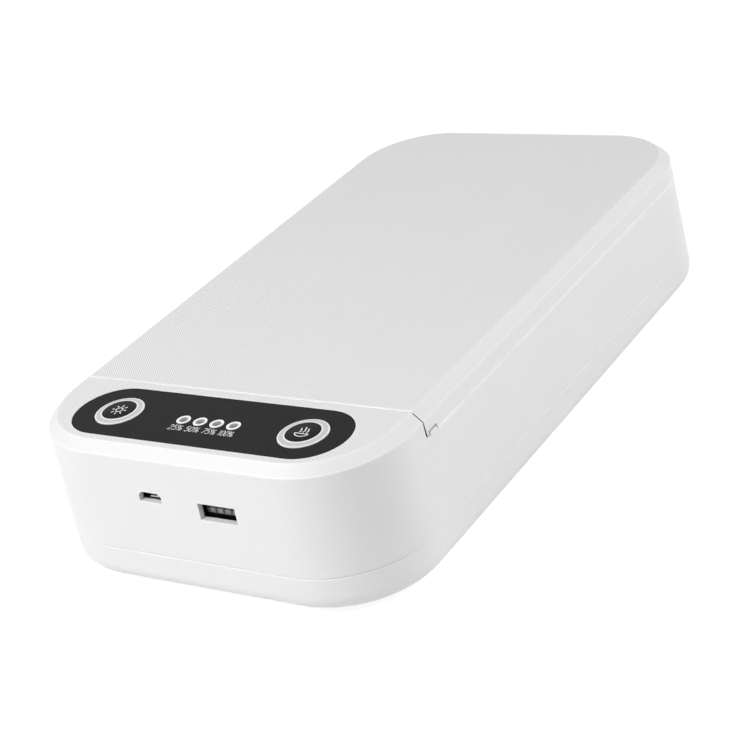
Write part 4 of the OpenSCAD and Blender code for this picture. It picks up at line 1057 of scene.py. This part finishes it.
# Side wall of the case: how far it leans in for each unit of height, from what height, and its corners
WALL_LEAN = 0.04
WALL_FOOT = 7.3 * MM
CORNER_R = 28 * MM
# Where the bead starts behind the lid's front, and how far it goes round the rear corner, in degrees
BEAD_START = 5.5 * MM
BEAD_TURN = 62
STRAIGHT_STEPS = 12
TURN_STEPS = 24
# Cross-section of the bead in millimetres: how far it stands out of the wall, and its height over the rim
BEAD_OUTLINE = [(-0.32, -0.05), (-0.02, -0.27), (0.07, -0.15), (0.12, 0.05), (0.13, 0.3), (0.1, 0.48),
                (0.04, 0.57), (-0.03, 0.59), (-0.04, 0.34), (-0.06, 0.32), (-0.2, 0.27), (-0.32, 0.24)]


def make_rim_seal():
    """Fine silicone bead on the rim's outer edge, which closes the seam under the lid along both sides."""
    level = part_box("chamber_tray")[1].z
    inset = WALL_LEAN * (level - WALL_FOOT)
    turn_r = CORNER_R - inset
    turn_x, turn_y = cad_box[1].x - inset - turn_r, cad_box[1].y - inset - turn_r
    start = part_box("lid_shell")[0].y + BEAD_START
    path = [(turn_x + turn_r, start + (turn_y - start) * i / STRAIGHT_STEPS) for i in range(STRAIGHT_STEPS)]
    path += arc((turn_x, turn_y), (turn_r, turn_r), 0, BEAD_TURN, TURN_STEPS)
    for side, name in ((1, "right"), (-1, "left")):
        made = bmesh.new()
        rings = []
        for i, (x, y) in enumerate(path):
            ahead = Vector(path[min(i + 1, len(path) - 1)]) - Vector(path[max(i - 1, 0)])
            across = Vector((ahead.y, -ahead.x)).normalized() * MM
            rings.append([made.verts.new((side * (x + across.x * out), y + across.y * out, level + up * MM))
                          for out, up in BEAD_OUTLINE])
        for a, b in zip(rings, rings[1:]):
            band(made, a, b)
        made.faces.new(rings[0])
        made.faces.new(rings[-1])
        finish_piece("rim_seal_" + name, made, "seal", "case")


# Front of the lid: half widths of its flat top and of its bevel's foot, the bevel's height, and how far
# the front face draws in below the bevel
FLAT_HALF = 54.08 * MM
BEVEL_HALF = 57.08 * MM
BEVEL_HIGH = 2.7 * MM
LID_DRAFT = 0.35 * MM
# Black strip of painted shade in the parting gap: its thickness, width, distance in from the lid's outline,
# lap on the lid, and where on the bevel it starts, as a share
SHADE_STRIP_T = 0.1 * MM
SHADE_STRIP_WIDE = 1.4 * MM
SHADE_STRIP_IN = 0.07 * MM
SHADE_STRIP_LAP = 0.01 * MM
SHADE_STRIP_START = 0.18


def make_parting_shade_strips():
    """Black strip on the lid's front edge, down the bevel and the side: painted shade in the parting gap
    there.
    """
    low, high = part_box("lid_shell")
    shoulder = high.z - BEVEL_HIGH

    def front_face(z):
        return low.y + LID_DRAFT * max(0, (shoulder - z) / (shoulder - low.z))

    first = (FLAT_HALF + SHADE_STRIP_START * (BEVEL_HALF - FLAT_HALF), high.z - SHADE_STRIP_START * BEVEL_HIGH)
    outer = [(x - SHADE_STRIP_IN, z - SHADE_STRIP_IN) for x, z in (first, (BEVEL_HALF, shoulder))]
    outer.append((high.x - SHADE_STRIP_IN, low.z + SHADE_STRIP_IN))
    drops = (SHADE_STRIP_WIDE / 2, SHADE_STRIP_WIDE / 2, 0)
    inner = [(x - SHADE_STRIP_WIDE, z - drop) for (x, z), drop in zip(outer, drops)]
    outline = outer + inner[::-1]
    for side, name in ((1, "right"), (-1, "left")):
        made = bmesh.new()
        back = [made.verts.new((side * x, front_face(z) + SHADE_STRIP_LAP, z)) for x, z in outline]
        front = [made.verts.new((side * x, front_face(z) - SHADE_STRIP_T, z)) for x, z in outline]
        band(made, back, front)
        for layer in (back, front):
            made.faces.new((layer[0], layer[1], layer[4], layer[5]))
            made.faces.new((layer[1], layer[2], layer[3], layer[4]))
        finish_piece("parting_shade_strip_" + name, made, "black_plastic", "lid")


bpy.context.scene.view_settings.view_transform = "Standard"
make_camera()
make_world()
make_lamps()
make_floor()
dress_nodes()
make_labels()
make_button_faces()
make_lenses()
make_large_socket()
make_small_socket()
for screws in SCREWS:
    make_screws(*screws)
make_tubes()
make_feet()
make_rim_seal()
make_parting_shade_strips()
